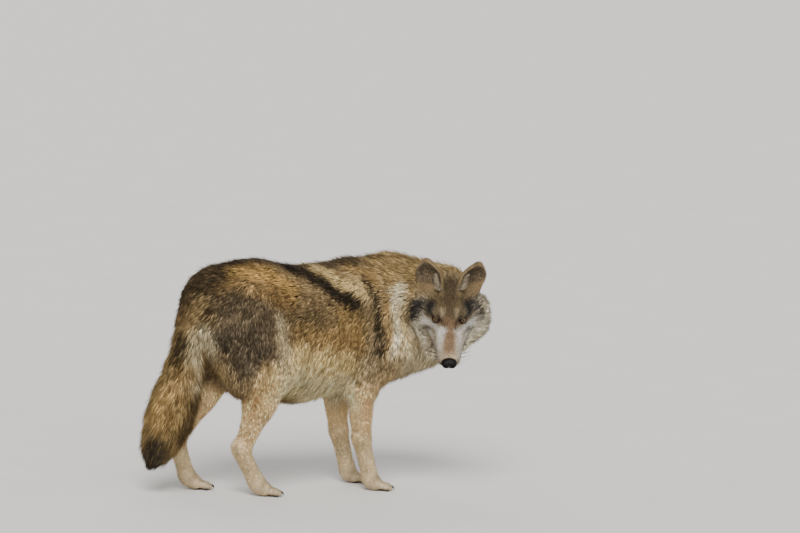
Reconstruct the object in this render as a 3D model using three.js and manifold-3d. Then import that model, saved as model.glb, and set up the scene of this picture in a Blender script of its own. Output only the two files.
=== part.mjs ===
// Grey wolf in its winter coat: a still, life-size museum model that stands on four paws and looks
// back over its right shoulder. Millimetres: +X is the way the body faces, +Y its left, +Z up.
//
// The body is one smooth field of blended, tapered lobes along the skeleton, out to the tips of the
// coat. A sweep is a skin of rings along a path, whose points lie where the field's surface is. The
// torso is one sweep, which a leg's root is cut from; head, tail and lower legs are sweeps of their
// own. A part is cut by the socket of what sits in it, so parts lie face to face with a thin gap.
import * as THREE from "three";
import { mergeVertices } from "three/addons/utils/BufferGeometryUtils.js";
import Module from "manifold-3d";

const wasm = await Module();
wasm.setup();

const at = (x, y, z) => new THREE.Vector3(x, y, z);
const DEG = Math.PI / 180;

// ---------------------------------------------------------------- driving dimensions
const GAP = 0.35; // between neighbouring parts
const SIDES = { right: -1, left: 1 };
const ACROSS = at(0, 1, 0);
const UP = at(0, 0, 1);

const CHEST = { x: 200, z: 515, r: 205, slim: 0.77 }; // r is half the depth, slim the width to depth
const BELLY = { x: 0, z: 491, r: 209 };
const LOIN = { x: -170, z: 550, r: 170, slim: 0.79 };
const RUMP = { x: -285, z: 580, r: 135, slim: 0.8 };
const WITHERS = { x: 200, z: 650, r: 70 };

const HEAD_AT = at(441, -205.5, 582.5); // centre of the brain case
const HEAD_SCALE = 1.07;
const HEAD_TURN = -122; // degrees to the left of +X, so the wolf looks back to its right
const HEAD_DROP = 45; // degrees below level
const HEAD_ROLL = 3;
const EYE_R = 13.5;
const EYE_OUT = 1; // how far the eyeball stands out of the face

const SHOULDER = { x: 212, y: 150, z: 478, size: [86, 108, 158] }; // the egg a foreleg takes from the torso
const HIP = { x: -208, y: 152, z: 498, size: [128, 112, 172] };
const PAW_WIDTH = 76;
const TOE_R = 13.5;
const CLAW_LENGTH = 15;

// ---------------------------------------------------------------- the field
// A lobe is a cone with round ends from a to b, squeezed along an axis by a ratio if flat is given.
const lobe = (a, b, ra, rb, blend = 40, flat = null) => ({ a, b, ra, rb, blend, flat });
const slimmed = (ratio, axis = ACROSS) => ({ axis, ratio });

function lobeDistance(p, { a, b, ra, rb, flat }) {
  const fromA = p.clone().sub(a);
  if (flat) fromA.addScaledVector(flat.axis, (1 / flat.ratio - 1) * fromA.dot(flat.axis));
  const axis = b.clone().sub(a);
  const length2 = axis.lengthSq();
  const taper = ra - rb;
  const slant2 = length2 - taper * taper;
  const along = fromA.dot(axis);
  const past = along - length2;
  const off2 = fromA.multiplyScalar(length2).addScaledVector(axis, -along).lengthSq();
  const end = Math.sign(taper) * taper * taper * off2;
  const inverse = 1 / length2;
  if (Math.sign(past) * slant2 * past * past * length2 > end)
    return Math.sqrt(off2 + past * past * length2) * inverse - rb;
  if (Math.sign(along) * slant2 * along * along * length2 < end)
    return Math.sqrt(off2 + along * along * length2) * inverse - ra;
  return (Math.sqrt(off2 * slant2 * inverse) + along * taper) * inverse - ra;
}

function fieldOf(lobes) {
  return (p) => {
    let d = 1e4;
    for (const each of lobes) {
      const next = lobeDistance(p, each);
      const mix = Math.max(each.blend - Math.abs(d - next), 0) / each.blend;
      d = Math.min(d, next) - mix * mix * each.blend * 0.25;
    }
    return d;
  };
}

// How far from origin along a direction the surface of a field is.
function spoke(field, origin, direction) {
  const p = at(0, 0, 0);
  let t = 0;
  for (let step = 0; step < 80; step++) {
    const d = field(p.copy(origin).addScaledVector(direction, t));
    if (d > -0.05) break;
    t -= d * 0.9;
  }
  return Math.max(t, 1.5);
}

// ---------------------------------------------------------------- sweeps
function solidOf(vertProperties, triVerts) {
  return new wasm.Manifold(new wasm.Mesh({ numProp: 3, vertProperties, triVerts }));
}

const cosineStations = (n, from = 0, to = 1) =>
  Array.from({ length: n }, (_, i) => from + ((to - from) * (1 - Math.cos((Math.PI * i) / (n - 1)))) / 2);
const evenStations = (n, from = 0, to = 1) =>
  Array.from({ length: n }, (_, i) => from + ((to - from) * i) / (n - 1));

// Rings round a path, closed by a pole at each end. grow moves the whole surface out, to make the
// socket of a part, and a round end reaches for the surface along the path.
function sweep({ path, stations, sides, up, lobes, grow = 0, roundStart = true, roundEnd = true }) {
  const field = fieldOf(lobes);
  const rings = stations.map((u) => {
    const centre = path.getPointAt(u);
    const tangent = path.getTangentAt(u);
    const side = up.clone().cross(tangent).normalize();
    const lift = tangent.clone().cross(side);
    const points = Array.from({ length: sides }, (_, i) => {
      const turn = (2 * Math.PI * i) / sides;
      const direction = side.clone().multiplyScalar(Math.cos(turn)).addScaledVector(lift, Math.sin(turn));
      return centre.clone().addScaledVector(direction, spoke(field, centre, direction) + grow);
    });
    return { centre, tangent, points };
  });
  const pole = ({ centre, tangent, points }, sign, round) => {
    const outward = tangent.clone().multiplyScalar(sign);
    if (!round) points.forEach((p) => p.addScaledVector(outward, grow));
    return centre.clone().addScaledVector(outward, grow + (round ? spoke(field, centre, outward) : 0));
  };
  const last = rings.length - 1;
  const poles = [pole(rings[0], -1, roundStart), pole(rings[last], 1, roundEnd)];
  const vertices = [...poles, ...rings.flatMap((ring) => ring.points)];
  const faces = [];
  const index = (ring, i) => 2 + ring * sides + (i % sides);
  for (let i = 0; i < sides; i++) {
    faces.push([0, index(0, i + 1), index(0, i)], [1, index(last, i), index(last, i + 1)]);
    for (let ring = 0; ring < last; ring++) {
      const [a, b, c, d] = [index(ring, i), index(ring, i + 1), index(ring + 1, i + 1), index(ring + 1, i)];
      faces.push([a, b, c], [a, c, d]);
    }
  }
  return solidOf(new Float32Array(vertices.flatMap((v) => v.toArray())), new Uint32Array(faces.flat()));
}

const withSocket = (make) => ({ solid: make(0), socket: make(GAP) });

// A three.js geometry, placed by a matrix, as a solid that can be joined and cut.
function solidFrom(geometry, matrix = new THREE.Matrix4()) {
  const bare = geometry.clone().applyMatrix4(matrix);
  bare.deleteAttribute("normal");
  bare.deleteAttribute("uv");
  const merged = mergeVertices(bare, 1e-4);
  return solidOf(merged.attributes.position.array, new Uint32Array(merged.index.array));
}

// An egg-shaped solid with its own axes: forward, left and up are unit vectors.
function egg(centre, radii, [forward, left, up], around = 12, rings = 8) {
  const basis = new THREE.Matrix4().makeBasis(forward, left, up).setPosition(centre);
  const shape = new THREE.SphereGeometry(1, around, rings).rotateX(Math.PI / 2).scale(...radii);
  return solidFrom(shape, basis);
}

const join = (solids) => solids.reduce((whole, solid) => whole.add(solid));
const largest = (solid) =>
  solid.decompose().reduce((best, piece) => (piece.volume() > best.volume() ? piece : best));
const cutBy = (solid, tools) => largest(tools.reduce((rest, tool) => rest.subtract(tool), solid));

// ---------------------------------------------------------------- the head's own frame
const turn = HEAD_TURN * DEG;
const drop = HEAD_DROP * DEG;
const headForward = at(Math.cos(turn) * Math.cos(drop), Math.sin(turn) * Math.cos(drop), -Math.sin(drop));
const headLeft = at(-Math.sin(turn), Math.cos(turn), 0).applyAxisAngle(headForward, HEAD_ROLL * DEG);
const headUp = headForward.clone().cross(headLeft);
const headAxes = [headForward, headLeft, headUp];
const turned = (x, y, z) =>
  at(0, 0, 0).addScaledVector(headForward, x).addScaledVector(headLeft, y).addScaledVector(headUp, z);
const inHead = (x, y, z) => HEAD_AT.clone().addScaledVector(turned(x, y, z), HEAD_SCALE);
const headLobe = (a, b, ra, rb, blend = 20, flat = null) =>
  lobe(inHead(...a), inHead(...b), ra * HEAD_SCALE, rb * HEAD_SCALE, blend, flat);

// ---------------------------------------------------------------- lobes, part by part
const torsoLobes = [
  lobe(at(CHEST.x, 0, CHEST.z), at(BELLY.x, 0, BELLY.z), CHEST.r, BELLY.r, 40, slimmed(CHEST.slim)),
  lobe(at(BELLY.x, 0, BELLY.z), at(LOIN.x, 0, LOIN.z), BELLY.r, LOIN.r, 40, slimmed(LOIN.slim)),
  lobe(at(LOIN.x, 0, LOIN.z + 12), at(RUMP.x, 0, RUMP.z), LOIN.r - 5, RUMP.r, 40, slimmed(RUMP.slim)),
  lobe(at(WITHERS.x, 0, WITHERS.z), at(WITHERS.x - 140, 0, WITHERS.z), WITHERS.r, WITHERS.r - 20),
  lobe(at(CHEST.x, 0, 500), at(330, -10, 500), 190, 140, 40, slimmed(0.78)),
];

const neckLobes = [
  lobe(at(220, 0, 560), at(352, -2, 590), 165, 142, 40, slimmed(0.84)),
  lobe(at(352, -2, 588), at(446, -100, 604), 142, 100, 50),
  lobe(at(330, -20, 645), at(480, -142, 668), 96, 62, 50),
  lobe(at(325, -5, 455), at(442, -88, 468), 118, 84, 50),
];

// shoulder, elbow, wrist, knuckle and toe, with the left fore paw a little ahead
const foreJoints = {
  right: { elbow: at(205, -85, 340), wrist: at(225, -80, 170), knuckle: at(262, -80, 60), toe: at(318, -82, 22) },
  left: { elbow: at(225, 85, 340), wrist: at(245, 72, 170), knuckle: at(282, 70, 60), toe: at(338, 72, 22) },
};
const shoulderLobes = (side) => [
  lobe(at(170, side * 75, 600), at(280, side * 88, 460), 75, 82, 50),
  lobe(at(280, side * 88, 460), at(215, side * 85, 360), 82, 60, 50),
];
const foreLobes = ({ elbow, wrist, knuckle, toe }) => [
  lobe(elbow, wrist, 52, 31, 30),
  lobe(wrist, knuckle, 31, 27, 20),
  lobe(knuckle.clone().setZ(40), toe, 32, 20, 20, slimmed(1.2)),
];

// stifle (knee), hock (heel), knuckle and toe: the right hind paw is under the belly
const hindJoints = {
  right: { stifle: at(-125, -98, 420), hock: at(-232, -92, 150), knuckle: at(-175, -90, 50), toe: at(-112, -90, 22) },
  left: { stifle: at(-205, 98, 420), hock: at(-358, 78, 165), knuckle: at(-322, 78, 50), toe: at(-259, 78, 22) },
};
const shankMiddle = ({ stifle, hock }) =>
  at((stifle.x + hock.x) / 2, hock.y, (stifle.z + hock.z) / 2);
const thighLobes = (side, { stifle }) => [
  lobe(at(-240, side * 65, 562), at(stifle.x - 20, side * 92, 440), 108, 82, 50),
  lobe(at(-300, side * 65, 505), at(-240, side * 88, 380), 85, 75, 50),
];
const hindLobes = (joints) => {
  const { stifle, hock, knuckle, toe } = joints;
  return [
    lobe(stifle, shankMiddle(joints), 75, 47, 40),
    lobe(shankMiddle(joints), hock, 47, 27, 30),
    lobe(hock.clone().add(at(-12, 0, 5)), knuckle, 29, 27, 20),
    lobe(knuckle.clone().setZ(40), toe, 31, 20, 20, slimmed(1.2)),
  ];
};

// the tail's middle line and its radius in fur
const tailStops = [
  { p: at(-310, 0, 630), r: 50 },
  { p: at(-352, 0, 570), r: 50 },
  { p: at(-385, 0, 490), r: 50 },
  { p: at(-402, 0, 400), r: 56 },
  { p: at(-424, 0, 310), r: 70 },
  { p: at(-446, 0, 235), r: 74 },
  { p: at(-470, 0, 170), r: 58 },
  { p: at(-490, 0, 125), r: 34 },
  { p: at(-503, 0, 100), r: 10 },
];
const tailLobes = tailStops.slice(1).map((stop, i) => lobe(tailStops[i].p, stop.p, tailStops[i].r, stop.r, 30));

const skullLobes = [
  headLobe([-35, 0, 4], [15, 0, 12], 72, 58, 30, slimmed(1.04, headLeft)),
  headLobe([-45, 0, -60], [30, 0, -72], 75, 36, 40),
];
const faceLobes = (side) => [
  headLobe([22, side * 26, 32], [60, side * 22, 16], 30, 21), // forehead
  headLobe([28, side * 41, 38], [46, side * 34, 38], 15, 11), // brow
  headLobe([-15, side * 58, -12], [46, side * 36, -22], 44, 25, 30), // cheek
  headLobe([-38, side * 75, -35], [-28, side * 80, -74], 54, 50, 30), // ruff
  headLobe([-28, side * 68, -86], [44, side * 40, -86], 46, 33, 30), // ruff under the jaw
  headLobe([55, side * 20, -10], [160, side * 11, -10], 26, 19), // bridge of the muzzle
  headLobe([60, side * 25, -28], [152, side * 15, -28], 24, 18), // upper lip
  headLobe([20, side * 26, -58], [140, side * 6, -46], 28, 13, 15), // lower jaw
];
const headLobes = [...skullLobes, ...faceLobes(SIDES.right), ...faceLobes(SIDES.left)];

const bothSides = (make) => Object.entries(SIDES).flatMap(([name, side]) => make(name, side));
const shoulders = bothSides((name, side) => shoulderLobes(side));
const thighs = bothSides((name, side) => thighLobes(side, hindJoints[name]));
const bodyLobes = [...torsoLobes, ...neckLobes, ...shoulders, ...thighs];

// ---------------------------------------------------------------- trunk and neck
const curve = (points) => new THREE.CatmullRomCurve3(points, false, "centripetal");
const NECK_CUT = 0.745; // share of the spine's length behind the cut between trunk and neck
const spine = curve([
  at(-412, 0, 570),
  at(-285, 0, 560),
  at(-120, 0, 530),
  at(60, 0, 505),
  at(200, 0, 515),
  at(320, -8, 535),
  at(402, -45, 566),
  at(444, -100, 596),
  at(470, -146, 620),
]);
const spinePart = (stations, ends) =>
  sweep({ path: spine, stations, sides: 21, up: UP, lobes: bodyLobes, ...ends });

// ---------------------------------------------------------------- limbs
// The egg of torso that belongs to a leg, and the leg below it.
const axesOfWorld = [at(1, 0, 0), ACROSS, UP];
const rootEgg = ({ x, y, z, size }, side, grow) =>
  egg(at(x, side * y, z), size.map((r) => r + grow), axesOfWorld, 14, 8);

function lowerLeg(path, lobes, rings) {
  const shape = { path, stations: cosineStations(rings), sides: 9, up: at(1, 0, 0.001), lobes, roundEnd: false };
  return withSocket((grow) => sweep({ ...shape, grow }));
}

function foreleg(name, side) {
  const { elbow, wrist, knuckle } = foreJoints[name];
  const path = curve([
    at(244, side * 88, 430),
    elbow.clone().add(at(4, 0, 20)),
    elbow.clone().add(at(4, 0, -40)),
    wrist.clone().lerp(elbow, 0.4),
    wrist,
    knuckle.clone().lerp(wrist, 0.45),
    knuckle.clone().add(at(2, 0, -8)),
  ]);
  return lowerLeg(path, foreLobes(foreJoints[name]), 12);
}

function hindleg(name, side) {
  const joints = hindJoints[name];
  const { stifle, hock, knuckle } = joints;
  const middle = shankMiddle(joints);
  const path = curve([
    stifle.clone().add(at(-55, side * -6, 55)),
    stifle.clone().add(at(-45, side * -3, 0)),
    middle.clone().lerp(stifle, 0.4).add(at(-12, 0, 0)),
    middle.clone().add(at(-4, 0, 0)),
    hock.clone().lerp(middle, 0.4),
    hock,
    knuckle.clone().lerp(hock, 0.45),
    knuckle.clone().add(at(2, 0, -4)),
  ]);
  return lowerLeg(path, hindLobes(joints), 12);
}

// A paw: sole pad, knuckles, four toes with claws, and a flat sole on the floor.
function paw(toe, knuckle, shin) {
  const forward = toe.clone().sub(knuckle).setZ(0).normalize();
  const left = UP.clone().cross(forward);
  const axes = [forward, left, UP];
  const place = (ahead, across, height) =>
    toe.clone().setZ(height).addScaledVector(forward, ahead).addScaledVector(left, across);
  const pieces = [
    egg(place(-46, 0, 26), [40, PAW_WIDTH * 0.42, 31], axes, 8, 5),
    egg(place(-14, 0, 22), [34, PAW_WIDTH * 0.44, 25], axes, 8, 5),
  ];
  const claws = [];
  for (let i = 0; i < 4; i++) {
    const across = (i - 1.5) * PAW_WIDTH * 0.235;
    const ahead = i === 0 || i === 3 ? 0 : 13;
    const splay = forward.clone().addScaledVector(left, (i - 1.5) * 0.12).normalize();
    const toeAxes = [splay, UP.clone().cross(splay), UP];
    pieces.push(egg(place(ahead, across, 14), [22, TOE_R * 0.92, TOE_R * 1.2], toeAxes, 6, 4));
    const claw = new THREE.ConeGeometry(3.8, CLAW_LENGTH, 4).rotateZ(-Math.PI / 2 - 0.5);
    const tip = place(ahead + 24, across, 11).addScaledVector(left, (i - 1.5) * 2.5);
    claws.push(solidFrom(claw, new THREE.Matrix4().makeBasis(...toeAxes).setPosition(tip)));
  }
  const floor = solidFrom(new THREE.BoxGeometry(400, 400, 100).translate(toe.x, toe.y, -50));
  return cutBy(join([...pieces, ...claws]), [shin, floor]);
}

// ---------------------------------------------------------------- head pieces
const EAR = { base: [-34, 55, 66], middle: [-48, 64, 102], tip: [-62, 72, 137], r: 45, tipR: 22, thin: 0.34 };
const EAR_SPREAD = [0, 5, -5]; // how far the left ear's tip is turned out and the right's in

function ear(side, headGrown) {
  const mirror = ([x, y, z]) => [x, side * y, z];
  const spread = (share) => at(...mirror(EAR_SPREAD)).multiplyScalar(side * share);
  const [base, middle, tip] = [EAR.base, EAR.middle, EAR.tip].map((p, i) => at(...mirror(p)).add(spread(i / 2)));
  const rise = tip.clone().sub(base).normalize();
  const facing = at(1, side * 0.42, 0.1);
  facing.addScaledVector(rise, -facing.dot(rise)).normalize();
  const faceAxis = turned(...facing.toArray());
  const shell = (a, b, ra, rb, forward, thin) => {
    const shift = facing.clone().multiplyScalar(forward);
    return headLobe(a.clone().add(shift).toArray(), b.clone().add(shift).toArray(), ra, rb, 12, slimmed(thin, faceAxis));
  };
  const outer = [
    shell(base, middle, EAR.r, EAR.r - 1, 0, EAR.thin),
    shell(middle, tip, EAR.r - 1, EAR.tipR, 0, EAR.thin),
  ];
  const hollow = [
    shell(base.clone().addScaledVector(rise, 14), middle, EAR.r - 9, EAR.r - 9, 14, 0.5),
    shell(middle, tip.clone().addScaledVector(rise, -3), EAR.r - 9, EAR.tipR - 7, 14, 0.5),
  ];
  const along = (forward, past) =>
    curve(
      [base.clone().addScaledVector(rise, -20), base, middle, tip, tip.clone().addScaledVector(rise, past)].map((p) =>
        inHead(...p.clone().addScaledVector(facing, forward).toArray()),
      ),
    );
  const cup = (lobes, forward, past, grow = 0) =>
    sweep({ path: along(forward, past), stations: cosineStations(6), sides: 10, up: faceAxis, lobes, grow });
  const past = EAR.tipR - 4;
  const inside = cup(hollow, 14, EAR.tipR - 14);
  return { solid: cutBy(cup(outer, 0, past), [inside, headGrown]), socket: cup(outer, 0, past, 1) };
}

function headPieces() {
  const path = curve([inHead(-84, 0, -8), inHead(0, 0, -14), inHead(90, 0, -26), inHead(176, 0, -24)]);
  const shape = { path, stations: cosineStations(18), sides: 20, up: headUp, lobes: headLobes };
  const { solid: whole, socket: grown } = withSocket((grow) => sweep({ ...shape, grow }));
  const noseAt = inHead(181, 0, -13);
  const noseSize = [15, 24, 16.5].map((r) => r * HEAD_SCALE);
  const nose = (grow) => egg(noseAt, noseSize.map((r) => r + grow), headAxes, 10, 6);
  const eyeAt = (side) => {
    const behind = inHead(26, side * 25, 28);
    const gaze = turned(1, side * 0.5, 0.12).normalize();
    return behind.addScaledVector(gaze, spoke(fieldOf(headLobes), behind, gaze) + EYE_OUT - EYE_R);
  };
  const eye = (side, grow) => egg(eyeAt(side), [0, 0, 0].map(() => EYE_R + grow), headAxes, 10, 7);
  const skull = cutBy(whole, [nose(GAP), ...Object.values(SIDES).map((side) => eye(side, GAP))]);
  const ears = Object.fromEntries(bothSides((name, side) => [[name, ear(side, grown)]]));
  return { skull, grown, ears, nose: nose(0), eye: (side) => eye(side, 0) };
}

// ---------------------------------------------------------------- putting the wolf together
const FUR = {
  grizzled: [0x6b5a45, 0.95],
  tan: [0x9a7b52, 0.95],
  cream: [0xb3a184, 0.95],
  face: [0x8d8372, 0.9],
  dark: [0x4a4036, 0.95],
};
const HORN = [0x17130f, 0.45];
const IRIS = [0x8a5a22, 0.1];

const wolf = new THREE.Group();
function add(name, solid, [color, roughness]) {
  const { vertProperties, triVerts } = solid.getMesh();
  const geometry = new THREE.BufferGeometry();
  geometry.setAttribute("position", new THREE.BufferAttribute(vertProperties, 3));
  geometry.setIndex(new THREE.BufferAttribute(triVerts, 1));
  geometry.computeVertexNormals();
  const mesh = new THREE.Mesh(geometry, new THREE.MeshStandardMaterial({ color, roughness, metalness: 0 }));
  mesh.name = name;
  wolf.add(mesh);
}

const head = headPieces();
const fore = Object.fromEntries(bothSides((name, side) => [[name, foreleg(name, side)]]));
const hind = Object.fromEntries(bothSides((name, side) => [[name, hindleg(name, side)]]));
const tailPath = curve([at(-336, 0, 592), ...tailStops.slice(1, -1).map((stop) => stop.p), at(-500, 0, 105)]);
const tailShape = { path: tailPath, stations: evenStations(14), sides: 13, up: at(1, 0, 0.001), lobes: tailLobes };
const tail = withSocket((grow) => sweep({ ...tailShape, grow }));

const trunk = spinePart(evenStations(16, 0, NECK_CUT), { roundEnd: false });
const neck = spinePart(evenStations(8, NECK_CUT + GAP / spine.getLength(), 1), { roundStart: false });
const eggs = (grow) => [SHOULDER, HIP].flatMap((root) => Object.values(SIDES).map((side) => rootEgg(root, side, grow)));
const lowerSockets = [fore, hind].flatMap((pair) => Object.values(pair).map((leg) => leg.socket));
const wholeLeg = (root, side, lower) => largest(trunk.intersect(rootEgg(root, side, 0)).add(lower).subtract(tail.socket));

const earSockets = Object.values(head.ears).map((ear) => ear.socket);
add("trunk", cutBy(trunk, [...eggs(GAP), ...lowerSockets, tail.socket]), FUR.grizzled);
add("neck", cutBy(neck, [head.grown, ...earSockets, ...eggs(GAP), ...lowerSockets]), FUR.tan);
add("head", head.skull, FUR.face);
add("nose", head.nose, HORN);
for (const [name, side] of Object.entries(SIDES)) {
  add(`ear_${name}`, head.ears[name].solid, FUR.dark);
  add(`eye_${name}`, head.eye(side), IRIS);
  add(`foreleg_${name}`, wholeLeg(SHOULDER, side, fore[name].solid), FUR.cream);
  add(`hindleg_${name}`, wholeLeg(HIP, side, hind[name].solid), FUR.cream);
  add(`paw_fore_${name}`, paw(foreJoints[name].toe, foreJoints[name].knuckle, fore[name].socket), FUR.cream);
  add(`paw_hind_${name}`, paw(hindJoints[name].toe, hindJoints[name].knuckle, hind[name].socket), FUR.cream);
}
add("tail", tail.solid, FUR.tan);

// the origin is on the floor, under the middle of the model's box
const box = new THREE.Box3().setFromObject(wolf);
const middle = box.getCenter(at(0, 0, 0));
wolf.position.set(-middle.x, -middle.y, -box.min.z);

const model = new THREE.Group();
model.add(wolf);
export default model;
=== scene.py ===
"""A grey wolf standing, life size: one skin with a coat of mesh tufts, eyes, nose, lips and claws."""
import math
from collections import namedtuple

import bpy
import numpy as np
from mathutils import Matrix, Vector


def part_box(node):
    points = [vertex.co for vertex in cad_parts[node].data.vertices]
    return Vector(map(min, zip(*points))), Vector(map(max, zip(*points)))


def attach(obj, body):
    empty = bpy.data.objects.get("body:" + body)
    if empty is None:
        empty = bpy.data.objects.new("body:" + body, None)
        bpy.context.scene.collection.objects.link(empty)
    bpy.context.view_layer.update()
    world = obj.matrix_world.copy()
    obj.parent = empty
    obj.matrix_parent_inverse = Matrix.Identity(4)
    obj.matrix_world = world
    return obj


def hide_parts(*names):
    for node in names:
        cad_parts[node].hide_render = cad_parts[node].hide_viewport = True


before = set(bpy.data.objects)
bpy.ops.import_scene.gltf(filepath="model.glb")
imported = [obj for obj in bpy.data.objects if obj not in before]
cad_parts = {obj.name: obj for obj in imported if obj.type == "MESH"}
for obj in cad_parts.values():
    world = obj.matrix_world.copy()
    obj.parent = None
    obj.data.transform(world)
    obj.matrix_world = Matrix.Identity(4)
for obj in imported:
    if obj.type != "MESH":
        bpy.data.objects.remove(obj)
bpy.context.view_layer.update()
rng = np.random.default_rng(20)

# ---------------------------------------------------------------- camera
# REF is the point of the wolf's own frame that sits at the pixel REF_PX of the picture.
PICTURE = (800, 533)
SENSOR = 36
VIEW_AZIMUTH = 35
VIEW_DROP = 7
VIEW_ROLL = 3.5
VIEW_AWAY = 12.0
PX_PER_M = 320
REF = np.array([0, 0, 0.372])
REF_PX = (292, 372)

# ---------------------------------------------------------------- the wolf's sizes (mm)
# The same named values as the frame's source, so the skin and coat follow its solids.
MM = 0.001
UP = np.array([0.0, 0.0, 1.0])
ACROSS = np.array([0.0, 1.0, 0.0])
SIDES = {"right": -1, "left": 1}

CHEST = dict(x=200, z=515, r=205, slim=0.77)
BELLY = dict(x=0, z=491, r=209)
LOIN = dict(x=-170, z=550, r=170, slim=0.79)
RUMP = dict(x=-285, z=580, r=135, slim=0.8)
WITHERS = dict(x=200, z=650, r=70)
HEAD_AT = np.array([441.0, -205.5, 582.5])
HEAD_SCALE = 1.07
HEAD_TURN = -122
HEAD_DROP = 45
HEAD_ROLL = 3
PAW_WIDTH = 76
NOSE_AT = (181, 0, -13)


def unit(v):
    v = np.asarray(v, float)
    return v / np.linalg.norm(v, axis=-1, keepdims=True)


def head_axes():
    turn, drop, roll = (math.radians(a) for a in (HEAD_TURN, HEAD_DROP, HEAD_ROLL))
    forward = np.array([math.cos(turn) * math.cos(drop), math.sin(turn) * math.cos(drop), -math.sin(drop)])
    level = np.array([-math.sin(turn), math.cos(turn), 0.0])
    left = level * math.cos(roll) + np.cross(forward, level) * math.sin(roll)
    return np.array([forward, left, np.cross(forward, left)])


HEAD = head_axes()


def turned(x, y, z):
    return np.array([x, y, z], float) @ HEAD


def in_head(x, y, z):
    return HEAD_AT + HEAD_SCALE * turned(x, y, z)


def head_local(p):
    return (p - HEAD_AT) @ HEAD.T / HEAD_SCALE


# ---------------------------------------------------------------- lobes
# A lobe is a cone with round ends, squeezed along an axis by a ratio where flat is given. Its kind
# names the hair that grows on it, and flow is the way that hair lies.
Lobe = namedtuple("Lobe", "kind a b ra rb blend flat flow")


def lobe(kind, a, b, ra, rb, flow, blend=40.0, flat=None):
    return Lobe(kind, np.array(a, float), np.array(b, float), ra, rb, blend, flat, unit(flow))


def lobe_distance(p, each, skin=False):
    a, b, ra, rb = each.a, each.b, each.ra, each.rb
    if skin:
        depth = KINDS[each.kind].depth
        ra, rb = max(ra - depth, 0.3 * ra, 3.0), max(rb - depth, 0.3 * rb, 3.0)
    from_a = p - a
    if each.flat:
        axis, ratio = each.flat
        from_a = from_a + ((1 / ratio - 1) * (from_a @ axis))[:, None] * axis
    axis = b - a
    length2 = axis @ axis
    taper = ra - rb
    slant2 = length2 - taper * taper
    along = from_a @ axis
    past = along - length2
    off2 = length2 * np.maximum(length2 * np.einsum("ij,ij->i", from_a, from_a) - along * along, 0)
    end = math.copysign(taper * taper, taper) * off2
    d = (np.sqrt(off2 * (slant2 / length2)) + along * taper) / length2 - ra
    near_a = np.flatnonzero(np.sign(along) * slant2 * along**2 * length2 < end)
    near_b = np.flatnonzero(np.sign(past) * slant2 * past**2 * length2 > end)
    d[near_a] = np.sqrt(off2[near_a] + along[near_a] ** 2 * length2) / length2 - ra
    d[near_b] = np.sqrt(off2[near_b] + past[near_b] ** 2 * length2) / length2 - rb
    return d


def soft_min(a, b, k):
    mix = np.maximum(k - np.abs(a - b), 0) / k
    return np.minimum(a, b) - mix * mix * k * 0.25


def union(p, lobes, skin):
    """The smoothed union of lobes."""
    d = np.full(len(p), 1e4)
    for each in lobes:
        d = soft_min(d, lobe_distance(p, each, skin), each.blend)
    return d


CROWD = 3000
LARGE_CROWD = 250000


def field(p, lobes, skin=False):
    """The same union, where a crowd of points is shared into cells, each with its near lobes only."""
    if len(p) < CROWD or len(lobes) < 10:
        return union(p, lobes, skin)
    size = 110 if len(p) < LARGE_CROWD else 70
    cell = np.floor(p / size).astype(np.int64)
    key = (cell + 50) @ np.array([1, 1000, 1000000])
    order = np.argsort(key, kind="stable")
    starts = np.flatnonzero(np.diff(key[order], prepend=-1))
    middles = (cell[order[starts]] + 0.5) * size
    table = np.array([lobe_distance(middles, each, skin) for each in lobes])
    near = table < table.min(0) + 2.2 * size + 50
    d = np.empty(len(p))
    for own, here in zip(np.split(order, starts[1:]), near.T):
        d[own] = union(p[own], [lobes[i] for i in np.flatnonzero(here)], skin)
    return d


# Hair: how deep the coat is over the skin, how long and wide a tuft is, tufts per cm2, how much it
# hangs on the body's sides, the colours of its root and tip, and how often a tip is dark.
Kind = namedtuple("Kind", "depth length width density hang root tip dark")
KINDS = {
    "back": Kind(21, 50, 3.5, 7.8, 1, "a68e66", "6f5a3c", 0.5),
    "rump": Kind(21, 48, 3.5, 7.8, 0.8, "9a7f58", "6d563a", 0.55),
    "chest": Kind(22, 52, 3.5, 7.8, 1, "e8d9b8", "d6c298", 0.12),
    "neck": Kind(27, 60, 3.6, 8.6, 0.3, "bea678", "8c7148", 0.35),
    "shoulder": Kind(17, 40, 3.0, 9.0, 0.6, "c8b088", "b09468", 0.22),
    "thigh": Kind(17, 40, 3.0, 9.0, 0.6, "a8926f", "86704f", 0.35),
    "foreleg": Kind(7, 17, 2.1, 17.0, 0, "f3d6a6", "e8c690", 0.05),
    "hindleg": Kind(9, 21, 2.2, 16.0, 0, "f0d2a2", "e4c08a", 0.06),
    "shin": Kind(5, 12, 1.9, 19.0, 0, "f4dcb0", "eacc9c", 0.04),
    "paw": Kind(2.2, 6, 1.4, 36.0, 0, "eed8b2", "e2c89c", 0.04),
    "tail": Kind(24, 70, 3.2, 11.0, 0, "b89d6c", "8a7044", 0.35),
    "crown": Kind(8, 18, 1.8, 26.0, 0, "9c8966", "5a4b38", 0.6),
    "face": Kind(5, 11, 1.5, 36.0, 0, "a8977a", "7d6d57", 0.35),
    "cheek": Kind(9, 24, 1.8, 27.0, 0, "c4b79f", "a99a84", 0.2),
    "ruff": Kind(16, 46, 2.3, 17.0, 0, "d6cab0", "bcae92", 0.1),
    "muzzle": Kind(3, 8, 1.4, 54.0, 0, "bba88c", "a8957a", 0.08),
    "ear": Kind(3.5, 11, 1.5, 32.0, 0, "9a8360", "6a563a", 0.3),
}

FLOW_BACK = (-1, 0, -0.22)
FLOW_RUMP = (-1, 0, -0.55)


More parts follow.
